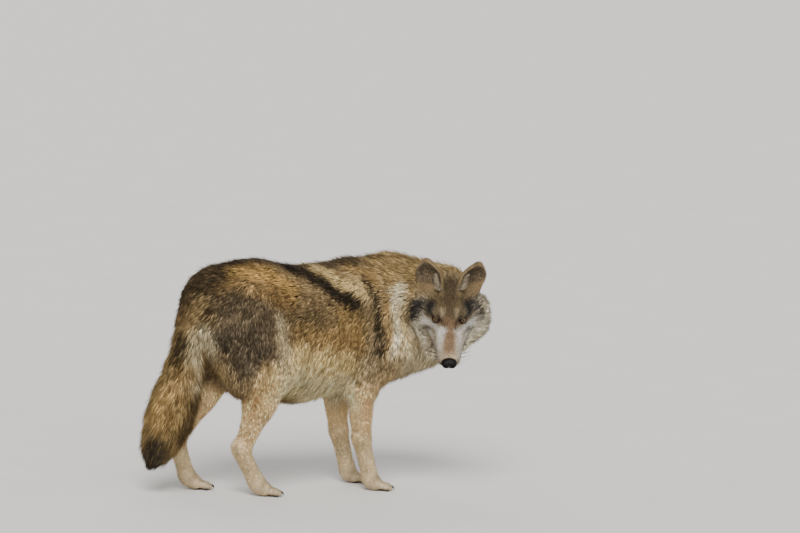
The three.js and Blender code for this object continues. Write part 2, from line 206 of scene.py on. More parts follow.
def torso_lobes():
    chest, belly, loin, rump = ((at["x"], 0, at["z"]) for at in (CHEST, BELLY, LOIN, RUMP))
    hump = (WITHERS["x"], 0, WITHERS["z"])
    slim = {name: (ACROSS, at["slim"]) for name, at in (("chest", CHEST), ("loin", LOIN), ("rump", RUMP))}
    return [
        lobe("back", chest, belly, CHEST["r"], BELLY["r"], FLOW_BACK, flat=slim["chest"]),
        lobe("back", belly, loin, BELLY["r"], LOIN["r"], FLOW_BACK, flat=slim["loin"]),
        lobe("rump", loin + UP * 12, rump, LOIN["r"] - 5, RUMP["r"], FLOW_RUMP, flat=slim["rump"]),
        lobe("back", hump, (hump[0] - 140, 0, hump[2]), WITHERS["r"], WITHERS["r"] - 20, FLOW_BACK),
        lobe("chest", (CHEST["x"], 0, 500), (330, -10, 500), 190, 140, (-0.8, 0, -0.8), flat=(ACROSS, 0.78)),
    ]


def neck_lobes():
    return [
        lobe("neck", (220, 0, 560), (352, -2, 590), 165, 142, (-1, 0.1, -0.35), flat=(ACROSS, 0.84)),
        lobe("neck", (352, -2, 588), (446, -100, 604), 142, 100, (-0.75, 0.6, -0.45), 50),
        lobe("neck", (330, -20, 645), (480, -142, 668), 96, 62, (-0.9, 0.55, -0.1), 50),
        lobe("neck", (325, -5, 455), (442, -88, 468), 118, 84, (-0.55, 0.3, -0.85), 50),
    ]


FORE = {
    "right": dict(elbow=(205, -85, 340), wrist=(225, -80, 170), knuckle=(262, -80, 60), toe=(318, -82, 22)),
    "left": dict(elbow=(225, 85, 340), wrist=(245, 72, 170), knuckle=(282, 70, 60), toe=(338, 72, 22)),
}
HIND = {
    "right": dict(stifle=(-125, -98, 420), hock=(-232, -92, 150), knuckle=(-175, -90, 50),
                  toe=(-112, -90, 22)),
    "left": dict(stifle=(-205, 98, 420), hock=(-358, 78, 165), knuckle=(-322, 78, 50), toe=(-259, 78, 22)),
}


def paw_axes(knuckle, toe):
    forward = unit((np.array(toe, float) - knuckle) * (1, 1, 0))
    return forward, np.cross(UP, forward)


def toe_place(knuckle, toe, ahead, across, height):
    forward, left = paw_axes(knuckle, toe)
    return np.array([toe[0], toe[1], height]) + forward * ahead + left * across


def toes(knuckle, toe):
    """For each of a paw's toes, the way it splays and its own places: ahead, across and height."""
    for i in range(4):
        across = (i - 1.5) * PAW_WIDTH * 0.235
        ahead = 0 if i in (0, 3) else 13
        place = lambda x, y, z: toe_place(knuckle, toe, ahead + x, across + y, z)
        yield across * 0.12, place


def paw_lobes(knuckle, toe):
    forward, left = paw_axes(knuckle, toe)
    spot = lambda *where: toe_place(knuckle, toe, *where)
    lobes = [
        lobe("paw", spot(-52, 0, 27), spot(-28, 0, 25), 20, 20, forward, 14, (left, 1.12)),
        lobe("paw", spot(-32, 0, 21), spot(-14, 0, 18), 19, 14, forward, 10, (left, 1.7)),
    ]
    for splay, place in toes(knuckle, toe):
        lobes.append(lobe("paw", place(-20, -splay, 18), place(-4, 0, 15), 12, 12, forward, 2))
        lobes.append(lobe("paw", place(-4, 0, 15), place(9, splay, 11), 12, 9.5, forward, 2))
    return lobes


def heel_lobe(joints):
    wrist = joints["knuckle"] * (1, 1, 0) + (4, 0, 46)
    return lobe("paw", wrist, joints["toe"] - (34, 0, -4), 25, 20, (0.8, 0, -0.6), 16, (ACROSS, 1.1))


def leg_lobes(side_name):
    side = SIDES[side_name]
    f, h = ({k: np.array(v, float) for k, v in joints[side_name].items()} for joints in (FORE, HIND))
    down, back_down = (-0.12, 0, -1), (-0.4, 0, -1)
    shank = (h["stifle"] + h["hock"]) / 2
    shank[1] = h["hock"][1]
    flank = (h["stifle"][0] - 20, side * 92, 440)
    return [
        lobe("shoulder", (170, side * 75, 600), (280, side * 88, 460), 75, 82, (-0.6, 0, -0.9), 50),
        lobe("shoulder", (280, side * 88, 460), (215, side * 85, 360), 82, 60, (-0.5, 0, -1), 50),
        lobe("foreleg", f["elbow"], f["wrist"], 52, 31, down, 30),
        lobe("shin", f["wrist"], f["knuckle"], 31, 27, down, 20),
        heel_lobe(f),
        lobe("thigh", (-240, side * 65, 562), flank, 108, 82, (-0.35, 0, -1), 50),
        lobe("thigh", (-300, side * 65, 505), (-240, side * 88, 380), 85, 75, (-0.5, 0, -1), 50),
        lobe("hindleg", h["stifle"], shank, 75, 47, back_down, 40),
        lobe("hindleg", shank, h["hock"], 47, 27, back_down, 30),
        lobe("shin", h["hock"] + (-12, 0, 5), h["knuckle"], 29, 27, (0.35, 0, -1), 20),
        heel_lobe(h),
        *paw_lobes(f["knuckle"], f["toe"]),
        *paw_lobes(h["knuckle"], h["toe"]),
    ]


TAIL = [  # the tail's middle line, and its radius in fur
    (-310, 0, 630, 50), (-352, 0, 570, 50), (-385, 0, 490, 50), (-402, 0, 400, 56), (-424, 0, 310, 70),
    (-446, 0, 235, 74), (-470, 0, 170, 58), (-490, 0, 125, 34), (-503, 0, 100, 10),
]


def tail_lobes():
    line = np.array(TAIL, float)
    return [lobe("tail", p[:3], q[:3], p[3], q[3], q[:3] - p[:3], 30) for p, q in zip(line, line[1:])]


def head_lobe(kind, a, b, ra, rb, flow, blend=20, flat=None):
    return lobe(kind, in_head(*a), in_head(*b), ra * HEAD_SCALE, rb * HEAD_SCALE, turned(*flow), blend, flat)


def face_lobes(s):
    """The lobes of one side of the face: s is -1 on the right and 1 on the left."""
    return [
        head_lobe("crown", (22, s * 26, 32), (60, s * 22, 16), 30, 21, (-1, s * 0.1, 0.2)),
        head_lobe("face", (28, s * 41, 38), (46, s * 34, 38), 15, 11, (-1, s * 0.4, 0.2)),
        head_lobe("cheek", (-15, s * 58, -12), (46, s * 36, -22), 44, 25, (-1, s * 0.5, -0.15), 30),
        head_lobe("ruff", (-38, s * 75, -35), (-28, s * 80, -74), 54, 50, (-0.75, s * 0.75, -0.45), 30),
        head_lobe("ruff", (-28, s * 68, -86), (44, s * 40, -86), 46, 33, (-0.85, s * 0.4, -0.6), 30),
        head_lobe("muzzle", (55, s * 20, -10), (160, s * 11, -10), 26, 19, (-1, s * 0.12, 0.05)),
        head_lobe("muzzle", (60, s * 25, -28), (157, s * 15, -30), 24, 18.5, (-1, s * 0.25, -0.25)),
        head_lobe("muzzle", (20, s * 26, -58), (140, s * 6, -46), 28, 13, (-1, s * 0.2, -0.2), 15),
    ]


def head_lobes():
    return [
        head_lobe("crown", (-35, 0, 4), (15, 0, 12), 72, 58, (-1, 0, 0.1), 30, (HEAD[1], 1.04)),
        head_lobe("ruff", (-45, 0, -60), (30, 0, -72), 75, 36, (-0.9, 0, -0.5), 40),
        *face_lobes(-1),
        *face_lobes(1),
    ]


EAR = dict(base=(-34, 55, 66), middle=(-48, 64, 102), tip=(-62, 72, 137), r=45, tip_r=22, thin=0.34)
EAR_SPREAD = (0, 5, -5)


def ear_frame(side):
    base, middle, tip = (
        (np.array(EAR[k], float) + np.array(EAR_SPREAD) * side * share) * (1, side, 1)
        for k, share in (("base", 0), ("middle", 0.5), ("tip", 1))
    )
    rise = unit(tip - base)
    facing = np.array([1, side * 0.42, 0.1])
    facing = unit(facing - facing @ rise * rise)
    return base, middle, tip, rise, facing


def ear_lobes(side):
    base, middle, tip, rise, facing = ear_frame(side)
    thin = (facing @ HEAD, EAR["thin"])
    r, tip_r = EAR["r"], EAR["tip_r"]
    return [
        head_lobe("ear", base, middle, r, r - 1, rise, 12, thin),
        head_lobe("ear", middle, tip, r - 1, tip_r, rise, 12, thin),
    ]


def ear_hollow(side):
    base, middle, tip, rise, facing = ear_frame(side)
    wide = (facing @ HEAD, 0.5)
    r, tip_r = EAR["r"] - 9, EAR["tip_r"] - 7
    ahead = facing * 14
    return [
        head_lobe("ear", base + rise * 14 + ahead, middle + ahead, r, r, rise, 12, wide),
        head_lobe("ear", middle + ahead, tip - rise * 3 + ahead, r, tip_r, rise, 12, wide),
    ]


BODY = [*torso_lobes(), *neck_lobes(), *leg_lobes("right"), *leg_lobes("left"), *tail_lobes(), *head_lobes()]
EARS = {side: ear_lobes(side) for side in SIDES.values()}
HOLLOWS = {side: ear_hollow(side) for side in SIDES.values()}
LOBES = [*BODY, *EARS[-1], *EARS[1]]


# ---------------------------------------------------------------- the wolf's frame and the row's
nose_lo, nose_hi = (np.array(corner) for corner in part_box("nose"))
SHIFT = (nose_lo + nose_hi) / 2 - in_head(*NOSE_AT) * MM


def to_row(p):
    return p * MM + SHIFT


def from_row(p):
    return (np.asarray(p) - SHIFT) / MM


def aim(thing, x, y, z, place):
    """Links an object, at a place in metres with its own axes along x, y and z."""
    bpy.context.collection.objects.link(thing)
    thing.matrix_world = Matrix([(x[i], y[i], z[i], place[i]) for i in range(3)] + [(0, 0, 0, 1)])


def add_camera():
    azimuth, drop, roll = (math.radians(a) for a in (VIEW_AZIMUTH, VIEW_DROP, VIEW_ROLL))
    ahead = np.array([math.sin(azimuth), math.cos(azimuth), 0])
    right = np.array([math.cos(azimuth), -math.sin(azimuth), 0])
    look = ahead * math.cos(drop) - UP * math.sin(drop)
    above = np.cross(right, look)
    cos, sin = math.cos(roll), math.sin(roll)
    right, above = right * cos + above * sin, above * cos - right * sin
    place = REF - look * VIEW_AWAY
    aside, higher = PICTURE[0] / 2 - REF_PX[0], REF_PX[1] - PICTURE[1] / 2
    target = REF + right * aside / PX_PER_M + above * higher / PX_PER_M
    look = unit(target - place)
    right = unit(np.cross(look, above))
    above = np.cross(right, look)
    camera = bpy.data.objects.new("camera", bpy.data.cameras.new("camera"))
    aim(camera, right, above, -look, place + SHIFT)
    camera.data.sensor_width = SENSOR
    camera.data.lens = PX_PER_M * VIEW_AWAY * SENSOR / PICTURE[0]
    camera.data.clip_end = 1000
    bpy.context.scene.camera = camera


add_camera()


# ---------------------------------------------------------------- fields of the skin and the coat
def ear_cup(p, side, skin):
    cup = field(p, EARS[side], skin)
    return np.maximum(cup, -field(p, HOLLOWS[side]) + (KINDS["ear"].depth if skin else 0))


def body_field(p, skin=False):
    d = field(p, BODY, skin)
    for side in SIDES.values():
        near = np.flatnonzero(((p - in_head(-49, 62 * side, 100)) ** 2).sum(1) < 110**2)
        if len(near):
            d[near] = soft_min(d[near], ear_cup(p[near], side, skin), 10)
    return d


EYE_SHOWN = 12.8
LID_WIDE = 58  # the opening's half width and half height in degrees, and its slant
LID_HIGH = 28
LID_SLANT = 26
LID_RINGS = ((-1, 0.3), (2, 1.2), (8, 1.7), (19, 1.5), (40, 0.4))  # degrees past the opening, and rise
LID_RIM = (1.0, 1.0, 0.9, 0.5, 0.0)  # how dark each ring is
TO_CAMERA = np.array([-0.569, -0.813, 0.122])


def eye_frame(side):
    """An eye's middle, the middle of its opening, and the ways outward and up on the face."""
    lo, hi = (np.array(corner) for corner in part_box("eye_left" if side > 0 else "eye_right"))
    socket = unit(turned(1, side * 0.5, 0.12))
    centre = from_row((lo + hi) / 2)
    middle = unit(socket + 0.5 * TO_CAMERA)
    across = turned(0.1, side, 0.1)
    across = unit(across - across @ middle * middle)
    above = np.cross(middle, across) * side
    return centre, middle, across, above


EYE_SOCKETS = [eye_frame(side)[:2] for side in SIDES.values()]


def skin_field(p):
    d = body_field(p, True)
    for centre, middle in EYE_SOCKETS:
        d = -soft_min(-d, np.linalg.norm(p - centre - 13.5 * middle, axis=1) - 14.5, 4)
    return d


def slope(f, p, step=0.8):
    """The field and its unit gradient."""
    corners = np.array([[1, -1, -1], [-1, -1, 1], [-1, 1, -1], [1, 1, 1]], float)
    values = [f(p + c * step) for c in corners]
    gradient = sum(c * v[:, None] for c, v in zip(corners, values)) / (4 * step)
    return sum(values) / 4, gradient


def settle(f, p, level=0.0, rounds=2, most=6.0):
    """Moves points along the gradient onto a level of the field."""
    for _ in range(rounds):
        value, gradient = slope(f, p)
        steep = np.maximum((gradient**2).sum(1), 0.05)
        move = np.clip((value - level) / np.sqrt(steep), -most, most)
        p = p - gradient / np.sqrt(steep)[:, None] * move[:, None]
    return p


# ---------------------------------------------------------------- surface nets
def stops(lo, hi, coarse, zones):
    """Grid stops from lo to hi, with a finer step inside the zones."""
    out = [lo]
    while out[-1] < hi:
        fine = [step for a, b, step in zones if a <= out[-1] < b]
        out.append(out[-1] + (min(fine) if fine else coarse))
    return np.array(out)


def nets(f, axes, reach=1.5, block=4):
    """A quad mesh of f = 0 on a grid with uneven steps. Blocks far from the surface aren't sampled."""
    counts = [len(a) for a in axes]
    picks = [np.unique(np.append(np.arange(0, n, block), n - 1)) for n in counts]
    grid = np.stack(np.meshgrid(*[a[i] for a, i in zip(axes, picks)], indexing="ij"), -1)
    coarse = f(grid.reshape(-1, 3)).reshape(grid.shape[:3])
    values = np.empty(counts, np.float32)
    wanted = np.zeros(counts, bool)
    for spot in np.ndindex(*(len(pick) - 1 for pick in picks)):
        ends = [(pick[i], pick[i + 1]) for pick, i in zip(picks, spot)]
        own = tuple(slice(lo, hi + 1) for lo, hi in ends)
        corner = coarse[tuple(slice(i, i + 2) for i in spot)]
        values[own] = corner[0, 0, 0]
        size = math.dist(*([a[end[k]] for a, end in zip(axes, ends)] for k in (0, 1)))
        if abs(corner).min() < size * reach:
            wanted[own] = True
    place_of = lambda cells: np.stack([a[cells[:, i]] for i, a in enumerate(axes)], 1)
    spots = np.argwhere(wanted)
    values[tuple(spots.T)] = f(place_of(spots))
    inside = values < 0
    total = np.zeros([n - 1 for n in counts], np.int8)
    for corner in np.ndindex(2, 2, 2):
        total += inside[tuple(slice(c, c + n - 1) for c, n in zip(corner, counts))]
    live = (total > 0) & (total < 8)
    number = np.full(live.shape, -1)
    number[live] = np.arange(live.sum())
    cells = np.argwhere(live)
    place = np.zeros((len(cells), 3))
    hits = np.zeros(len(cells))
    steps = np.eye(3, dtype=int)
    quads = []
    for axis in range(3):
        u, v = steps[(axis + 1) % 3], steps[(axis + 2) % 3]
        for corner in np.ndindex(2, 2):
            p = cells + sum(c * steps[a] for c, a in zip(corner, [a for a in range(3) if a != axis]))
            q = p + steps[axis]
            fp, fq = values[tuple(p.T)], values[tuple(q.T)]
            cross = (fp < 0) != (fq < 0)
            share = np.where(cross, fp / np.where(cross, fp - fq, 1), 0)
            spot = place_of(p)
            spot[:, axis] += share * (axes[axis][q[:, axis]] - axes[axis][p[:, axis]])
            place[cross] += spot[cross]
            hits[cross] += 1
        low, high = (tuple(slice(k, n - 1 + k) if a == axis else slice(None) for a, n in enumerate(counts))
                     for k in (0, 1))
        edges = np.argwhere(inside[low] != inside[high])
        whole = (edges > 0) & (edges < np.array(counts) - 1)
        whole[:, axis] = True
        edges = edges[whole.all(1)]
        around = ((1, 1), (0, 1), (0, 0), (1, 0))
        quad = np.stack([number[tuple((edges - i * u - j * v).T)] for i, j in around], 1)
        inward = ~inside[tuple(edges.T)]
        quad[inward] = quad[inward][:, ::-1]
        quads.append(quad)
    return place / hits[:, None], np.concatenate(quads)


def smooth_mesh(name, points, faces, material):
    """A smooth-shaded object from points in millimetres and faces of one length."""
    mesh = bpy.data.meshes.new(name)
    side = faces.shape[1]
    mesh.vertices.add(len(points))
    mesh.vertices.foreach_set("co", to_row(points).astype(np.float32).ravel())
    mesh.loops.add(faces.size)
    mesh.loops.foreach_set("vertex_index", faces.astype(np.int32).ravel())
    mesh.polygons.add(len(faces))
    mesh.polygons.foreach_set("loop_start", np.arange(0, faces.size, side, dtype=np.int32))
    mesh.polygons.foreach_set("loop_total", np.full(len(faces), side, np.int32))
    mesh.polygons.foreach_set("use_smooth", np.ones(len(faces), bool))
    mesh.update()
    mesh.materials.append(material)
    piece = bpy.data.objects.new(name, mesh)
    bpy.context.collection.objects.link(piece)
    return piece


def ring_faces(rings, around, flip=False):
    """The quads of a tube or dome whose points lie in rings."""
    first, i = np.divmod(np.arange((rings - 1) * around), around)
    first, following = first * around, (i + 1) % around
    faces = np.stack([first + i, first + following, first + around + following, first + around + i], 1)
    return faces[:, :: -1 if flip else 1]


def round_turns(count):
    """Even angles round a circle, with their cosines and sines as columns."""
    turns = np.linspace(0, 2 * math.pi, count, endpoint=False)
    return turns, np.cos(turns)[:, None], np.sin(turns)[:, None]


def join(parts):
    """Points and faces of many shapes as one."""
    starts = np.cumsum([0, *(len(points) for points, _ in parts)])
    return np.vstack([points for points, _ in parts]), np.vstack([f + n for (_, f), n in zip(parts, starts)])


def beside(p, a, b):
    """How far along the line from a to b each place lies, from 0 to 1, and its way out from there."""
    axis = b - a
    t = np.clip((p - a) @ axis / (axis @ axis), 0, 1)
    return t, p - a - t[:, None] * axis


def paint_mesh(piece, colours):
    """Stores linear colours, one for each point, as the attribute Coat."""
    attribute = piece.data.color_attributes.new("Coat", "FLOAT_COLOR", "POINT")
    rgba = np.ones((len(colours), 4), np.float32)
    rgba[:, :3] = colours
    attribute.data.foreach_set("color", rgba.ravel())


def store_uv(piece, per_point):
    """Stores the bake map from one place per point."""
    mesh = piece.data
    layer = mesh.uv_layers.new(name="OFBake")
    index = np.empty(len(mesh.loops), np.int32)
    mesh.loops.foreach_get("vertex_index", index)
    layer.data.foreach_set("uv", per_point[index].astype(np.float32).ravel())


# ---------------------------------------------------------------- noise
def waves(seed, scale, count=7):
    """A smooth noise from -1 to 1 or so, with features about scale millimetres across."""
    source = np.random.default_rng(seed)
    ways = unit(source.normal(size=(count, 3))) * (2 * math.pi / scale) * source.uniform(0.4, 1.1, (count, 1))
    phases = source.uniform(0, 2 * math.pi, count)
    return lambda p: np.sin(p @ ways.T + phases).sum(1) / math.sqrt(count)


def hex_colour(text):
    values = np.array([int(text[i : i + 2], 16) for i in (0, 2, 4)]) / 255
    return np.where(values <= 0.04045, values / 12.92, ((values + 0.055) / 1.055) ** 2.4)


def two_colours(root, tip):
    return np.array([*hex_colour(root), *hex_colour(tip)])


def fade(x, a, b):
    """0 before a and 1 after b, with soft ends."""
    x = np.clip((x - a) / (b - a), 0, 1)
    return x * x * (3 - 2 * x)


# ---------------------------------------------------------------- markings
# Each stroke is a run of points in millimetres: (points, radius, root colour, tip colour, weight).
# The body's strokes lie on the right side and are mirrored; the head's are in the head's own axes.
BODY_PAINT = [
    # flank
    ([(-120, -144, 600), (17, -163, 575), (150, -163, 545)], 56, "86704e", "5b4930", 0.75),
    ([(-90, -167, 505), (60, -170, 482), (140, -166, 462)], 38, "ad8d5a", "876a3e", 0.75),
    ([(-110, -170, 430), (0, -170, 412), (120, -150, 392)], 46, "ead29a", "dcba7c", 0.9),
    ([(-120, -120, 360), (20, -110, 318), (130, -80, 312)], 66, "f6e6bc", "ead49e", 0.95),
    ([(90, -160, 560), (120, -160, 500)], 40, "b1935f", "94753f", 0.6),
    # dark crest from the withers to the tail
    ([(220, 0, 725), (60, 0, 705), (-120, 0, 712), (-280, 0, 715)], 50, "4c3f31", "1d1814", 0.8),
    ([(-270, -30, 710), (-350, -30, 690), (-400, -20, 640)], 60, "54452f", "1f1a15", 0.85),
    # golden patch on the loin
    ([(-275, -60, 700), (-180, -92, 690), (-110, -118, 650)], 36, "c4a264", "a58046", 0.9),
    ([(-330, -95, 640), (-230, -130, 640), (-120, -140, 610)], 34, "9a7c4d", "7a5f38", 0.7),
    # the dark edge of the cape, down and forward behind the withers, and the pale patch ahead of it
    ([(45, -40, 702), (90, -95, 668), (150, -120, 645)], 30, "cfb888", "b89c66", 0.9),
    ([(160, -60, 695), (205, -100, 665)], 26, "bb9a64", "9c7a45", 0.7),
    ([(-60, -40, 706), (-10, -70, 697), (38, -115, 655), (85, -140, 622), (120, -153, 603)],
     30, "2c241c", "120e0b", 0.95),
    # the dark band down the shoulder and the pale collar ahead of it
    ([(236, -140, 640), (240, -165, 540), (235, -165, 460)], 18, "a58556", "866738", 0.6),
    ([(172, -120, 675), (190, -150, 628), (206, -165, 560), (207, -170, 490), (205, -165, 440)],
     17, "33291f", "17120e", 0.95),
    ([(292, -130, 640), (291, -145, 590), (276, -172, 515), (262, -165, 455)],
     21, "e6dcc0", "d9cca8", 0.95),
    # thigh and haunch
    ([(-350, -105, 600), (-282, -158, 592), (-215, -168, 560)], 50, "6f6049", "3c3327", 0.85),
    ([(-345, -118, 500), (-280, -160, 490), (-232, -165, 458), (-280, -150, 428)],
     50, "716450", "3a3127", 0.9),
    ([(-158, -168, 560), (-150, -176, 500), (-156, -176, 420)], 26, "cbbb98", "b8a680", 0.65),
    ([(-190, -150, 366), (-210, -140, 300)], 46, "efd09a", "e0bb80", 0.9),
    ([(-345, -90, 380), (-285, -100, 290)], 30, "c8ae80", "a88c5c", 0.6),
    # legs
    ([(-215, -124, 320), (-224, -123, 250), (-226, -123, 190)], 11, "a87c4e", "95683c", 0.65),
    ([(-262, -110, 165), (-255, -112, 120)], 11, "5c4b38", "463a2c", 0.6),
    ([(165, -121, 335), (205, -122, 300), (222, -118, 220)], 22, "dcb482", "cc9f6c", 0.6),
    ([(166, -61, 300), (166, -61, 270)], 11, "5b4a3b", "40352b", 0.6),
    ([(262, -80, 200), (286, -80, 120), (305, -80, 70)], 14, "dccbab", "cfbc98", 0.7),
    # brisket and throat side
    ([(330, -60, 420), (300, -40, 380), (200, -30, 320)], 60, "dccfae", "cfbe96", 0.9),
]

TAIL_PAINT = [
    ([(-330, 0, 600), (-385, -50, 560), (-400, -55, 520)], 44, "bba274", "94784c", 0.85),
    ([(-372, -75, 570), (-370, -75, 490)], 17, "33291f", "17120e", 0.9),
    ([(-441, -20, 480), (-455, -30, 435), (-446, -45, 400)], 27, "2c251d", "15110d", 0.9),
    ([(-390, -70, 480), (-396, -72, 440), (-396, -68, 370)], 42, "e0d4b2", "c8b68c", 0.85),
    ([(-425, -60, 380), (-480, -50, 320), (-512, -48, 250)], 40, "c2a470", "977648", 0.85),
    ([(-500, -20, 300), (-520, -30, 230)], 22, "cfae74", "b58f55", 0.7),
    ([(-395, -50, 300), (-400, -70, 240), (-430, -70, 175)], 32, "6d5639", "3c3022", 0.85),
    ([(-505, -30, 150), (-490, 0, 118), (-503, 0, 90)], 44, "4c453c", "23201c", 0.9),
]

MANE_PAINT = [
    # golden-tan mane over the nape, with dark tips along its crest
    ([(240, -60, 700), (330, -80, 715), (420, -130, 715), (470, -190, 705)], 52, "c4ab78", "8a6e42", 0.85),
    ([(250, 0, 742), (330, -50, 742), (420, -115, 737), (475, -170, 722)], 18, "5b482f", "1f1a15", 0.7),
    ([(260, 60, 690), (360, 90, 690), (460, 60, 690)], 60, "b09768", "6a5439", 0.7),
    ([(470, -60, 640), (500, -110, 640), (520, -150, 630)], 50, "a08a60", "6a573f", 0.7),
    # throat and lower neck
    ([(330, -150, 560), (322, -140, 500), (330, -130, 440)], 46, "ccb98e", "bca374", 0.85),
    ([(400, -150, 430), (440, -130, 470), (480, -110, 520)], 90, "ded2b4", "cfbf98", 0.85),
]

HEAD_PAINT = [
    # grizzled crown with a dark line down the forehead
    ([(-70, 22, 70), (0, 24, 66), (30, 26, 60)], 20, "8f7b58", "4e402e", 0.8),
    ([(-60, 45, 60), (0, 50, 50)], 18, "a08a64", "6b5a42", 0.7),
    ([(-60, 0, 80), (10, 0, 72), (58, 0, 48)], 17, "6a583f", "2c251d", 0.6),
    # tan spots above the inner eyes
    ([(50, 21, 50), (57, 25, 44)], 8, "bfae8c", "a8946c", 0.7),
    # pale cheeks and ruff
    ([(40, 66, -35), (10, 88, -40), (-20, 105, -50)], 32, "e8dfca", "d4c8ae", 0.9),
    ([(-10, 92, 8), (-35, 108, -10)], 22, "c0b294", "a08c6c", 0.7),
    ([(10, 60, -95), (-30, 90, -100)], 38, "ebe0c4", "dccca6", 0.85),
    # the dark blue-grey patch outside and above each eye
    ([(26, 62, 44), (6, 78, 38), (2, 100, 26), (18, 104, 4)], 24, "403e3d", "131214", 0.97),
    ([(38, 62, 26), (34, 72, 8)], 9, "5b5855", "2b2a2b", 0.7),
    # pale line below the eyes
    ([(70, 42, 12), (58, 56, 4), (40, 66, -6)], 11, "e4dfd6", "d8d2c7", 0.95),
    ([(64, 52, -10), (42, 68, -24)], 8, "5f5852", "3b3632", 0.75),
    # rims and inner corners of the eyes
    ([(48, 33, 45), (64, 30, 36), (68, 42, 28)], 7, "3a2a20", "2b211b", 0.9),
    ([(70, 22, 30), (86, 16, 20)], 6, "4a3226", "3a2b22", 0.9),
    # muzzle: reddish tan along its top, pale grey sides and chin
    ([(76, 4, 28), (110, 3, 14), (168, 0, 8)], 15, "94775a", "775a40", 0.85),
    ([(84, 24, 2), (120, 22, -8), (160, 18, -14)], 13, "f0ebe2", "e4ddd2", 0.95),
    ([(70, 40, -25), (110, 30, -30), (155, 20, -30)], 15, "f2ede3", "e8e1d4", 0.97),
    ([(60, 20, -75), (110, 10, -66), (150, 5, -58)], 24, "e0d8c8", "d8cebc", 0.9),
    ([(176, 0, 8), (186, 8, 4)], 6, "4a3a30", "33291f", 0.8),
]

EAR_PAINT = [
    ([(-62, 84, 112), (-64, 74, 146)], 9, "5b4630", "3a2d20", 0.6),
]
EAR_MIDDLE = np.array([-49, 62, 112])
EAR_CUP = ("574c3e", "796a54")  # the cup's grey-brown, and the pale hair along its front edge
EAR_TUFT = ("8a7e6a", "c4b8a2")
EAR_EDGE = [(-18, 48, 76), (-22, 45, 96), (-34, 50, 116)]
EYE_RIM = ("35231b", "2a1c16")


def stroke_mask(p, run, radius):
    """How much a run of points covers each place: 1 within it, fading out by twice its radius."""
    run = np.array(run, float)
    best = np.full(len(p), 1e9)
    for a, b in zip(run, run[1:]):
        best = np.minimum(best, (beside(p, a, b)[1] ** 2).sum(1))
    return 1 - fade(np.sqrt(best), 0.55 * radius, 1.5 * radius)


warp_x, warp_y, warp_z = waves(1, 90), waves(2, 90), waves(3, 90)
blotch, fleck, streak = waves(4, 130), waves(5, 34), waves(6, 16)


def lobe_mix(p, sharp=9.0):
    """The lobes' hair values, blended at each place by nearness."""
    best = np.full(len(p), 1e9)
    for each in LOBES:
        best = np.minimum(best, lobe_distance(p, each))
    total = np.zeros(len(p))
    values = np.zeros((len(p), 5))
    flow = np.zeros((len(p), 3))
    hair = np.zeros((len(p), 7))
    for each in LOBES:
        weight = np.exp(-np.clip((lobe_distance(p, each) - best) / sharp, 0, 40))
        kind = KINDS[each.kind]
        total += weight
        values += weight[:, None] * np.array(kind[:5])
        flow += weight[:, None] * each.flow
        hair += weight[:, None] * np.array([*two_colours(kind.root, kind.tip), kind.dark])
    return values / total[:, None], flow, hair / total[:, None]


def markings(p, hair):
    """Root and tip colours and the chance of a dark tip, from the blended hair and the strokes."""
    q = p + 7 * np.stack([warp_x(p), warp_y(p), warp_z(p)], 1)
    flank = np.stack([q[:, 0], -np.abs(q[:, 1]), q[:, 2]], 1)
    local = head_local(p + 0.25 * (q - p))
    face = np.stack([local[:, 0], np.abs(local[:, 1]), local[:, 2]], 1)
    in_face = 1 - fade(np.linalg.norm((local - (20, 0, -10)) / (1.25, 1, 1.05), axis=1), 112, 132)
    ears = 1 - fade(np.linalg.norm(face - EAR_MIDDLE, axis=1), 44, 52)
    ears *= fade(face[:, 2], 66, 82)
    colour = hair.copy()

    def tint(pair, mask, own=slice(None)):
        colour[own, :6] += (two_colours(*pair) - colour[own, :6]) * mask[:, None]

    for strokes, where, limit in (
        (BODY_PAINT, flank, (1 - in_face) * fade(-q[:, 0], -340, -300)),
        (TAIL_PAINT, q, fade(-q[:, 0], 300, 340)),
        (MANE_PAINT, q, (1 - in_face) * fade(q[:, 0], 215, 255)),
        (HEAD_PAINT, face, in_face * (1 - ears)),
        (EAR_PAINT, face, ears),
    ):
        for run, radius, root, tip, weight in strokes:
            tint((root, tip), stroke_mask(where, run, radius) * weight * limit)
    for side in SIDES.values():
        tint(EYE_RIM, (1 - fade(lid_place(p, side), 1.3, 1.95)) * 0.92)
        near = np.flatnonzero(np.linalg.norm(local - EAR_MIDDLE * (1, side, 1), axis=1) < 60)
        if len(near):
            deep = (1 - fade(field(p[near], HOLLOWS[side]), 3.5, 7.5)) * ears[near]
            tint(EAR_CUP, deep, near)
            tint(EAR_TUFT, stroke_mask(face[near], EAR_EDGE, 10) * deep * 0.85, near)
    colour[:, :6] *= (1 + 0.10 * blotch(p) + 0.09 * fleck(p))[:, None]
    return np.clip(colour, 0.004, 1)


# ---------------------------------------------------------------- parts and their unwrap
def leg_line(joints, top):
    line = np.array([top, *joints.values()], float)
    return np.vstack([line, line[-1] + (60, 0, -12)])


LINES = {
    "trunk": [(-440, 0, 590), (-285, 0, 570), (-120, 0, 530), (60, 0, 500), (200, 0, 510), (345, -5, 520)],
    "neck": [(200, 0, 550), (352, -2, 570), (440, -70, 590), (500, -150, 640)],
    "head": [in_head(-120, 0, -30), in_head(0, 0, -20), in_head(190, 0, -20)],
    "tail": [stop[:3] for stop in TAIL],
}
for side_name, side in SIDES.items():
    LINES["foreleg_" + side_name] = leg_line(FORE[side_name], (240, side * 82, 560))
    LINES["hindleg_" + side_name] = leg_line(HIND[side_name], (-250, side * 66, 640))
    spots = ((-33, 54 * side, 50), (-49, 62 * side, 104), (-64, 71 * side, 150))
    LINES["ear_" + side_name] = [in_head(*spot) for spot in spots]
PARTS = list(LINES)


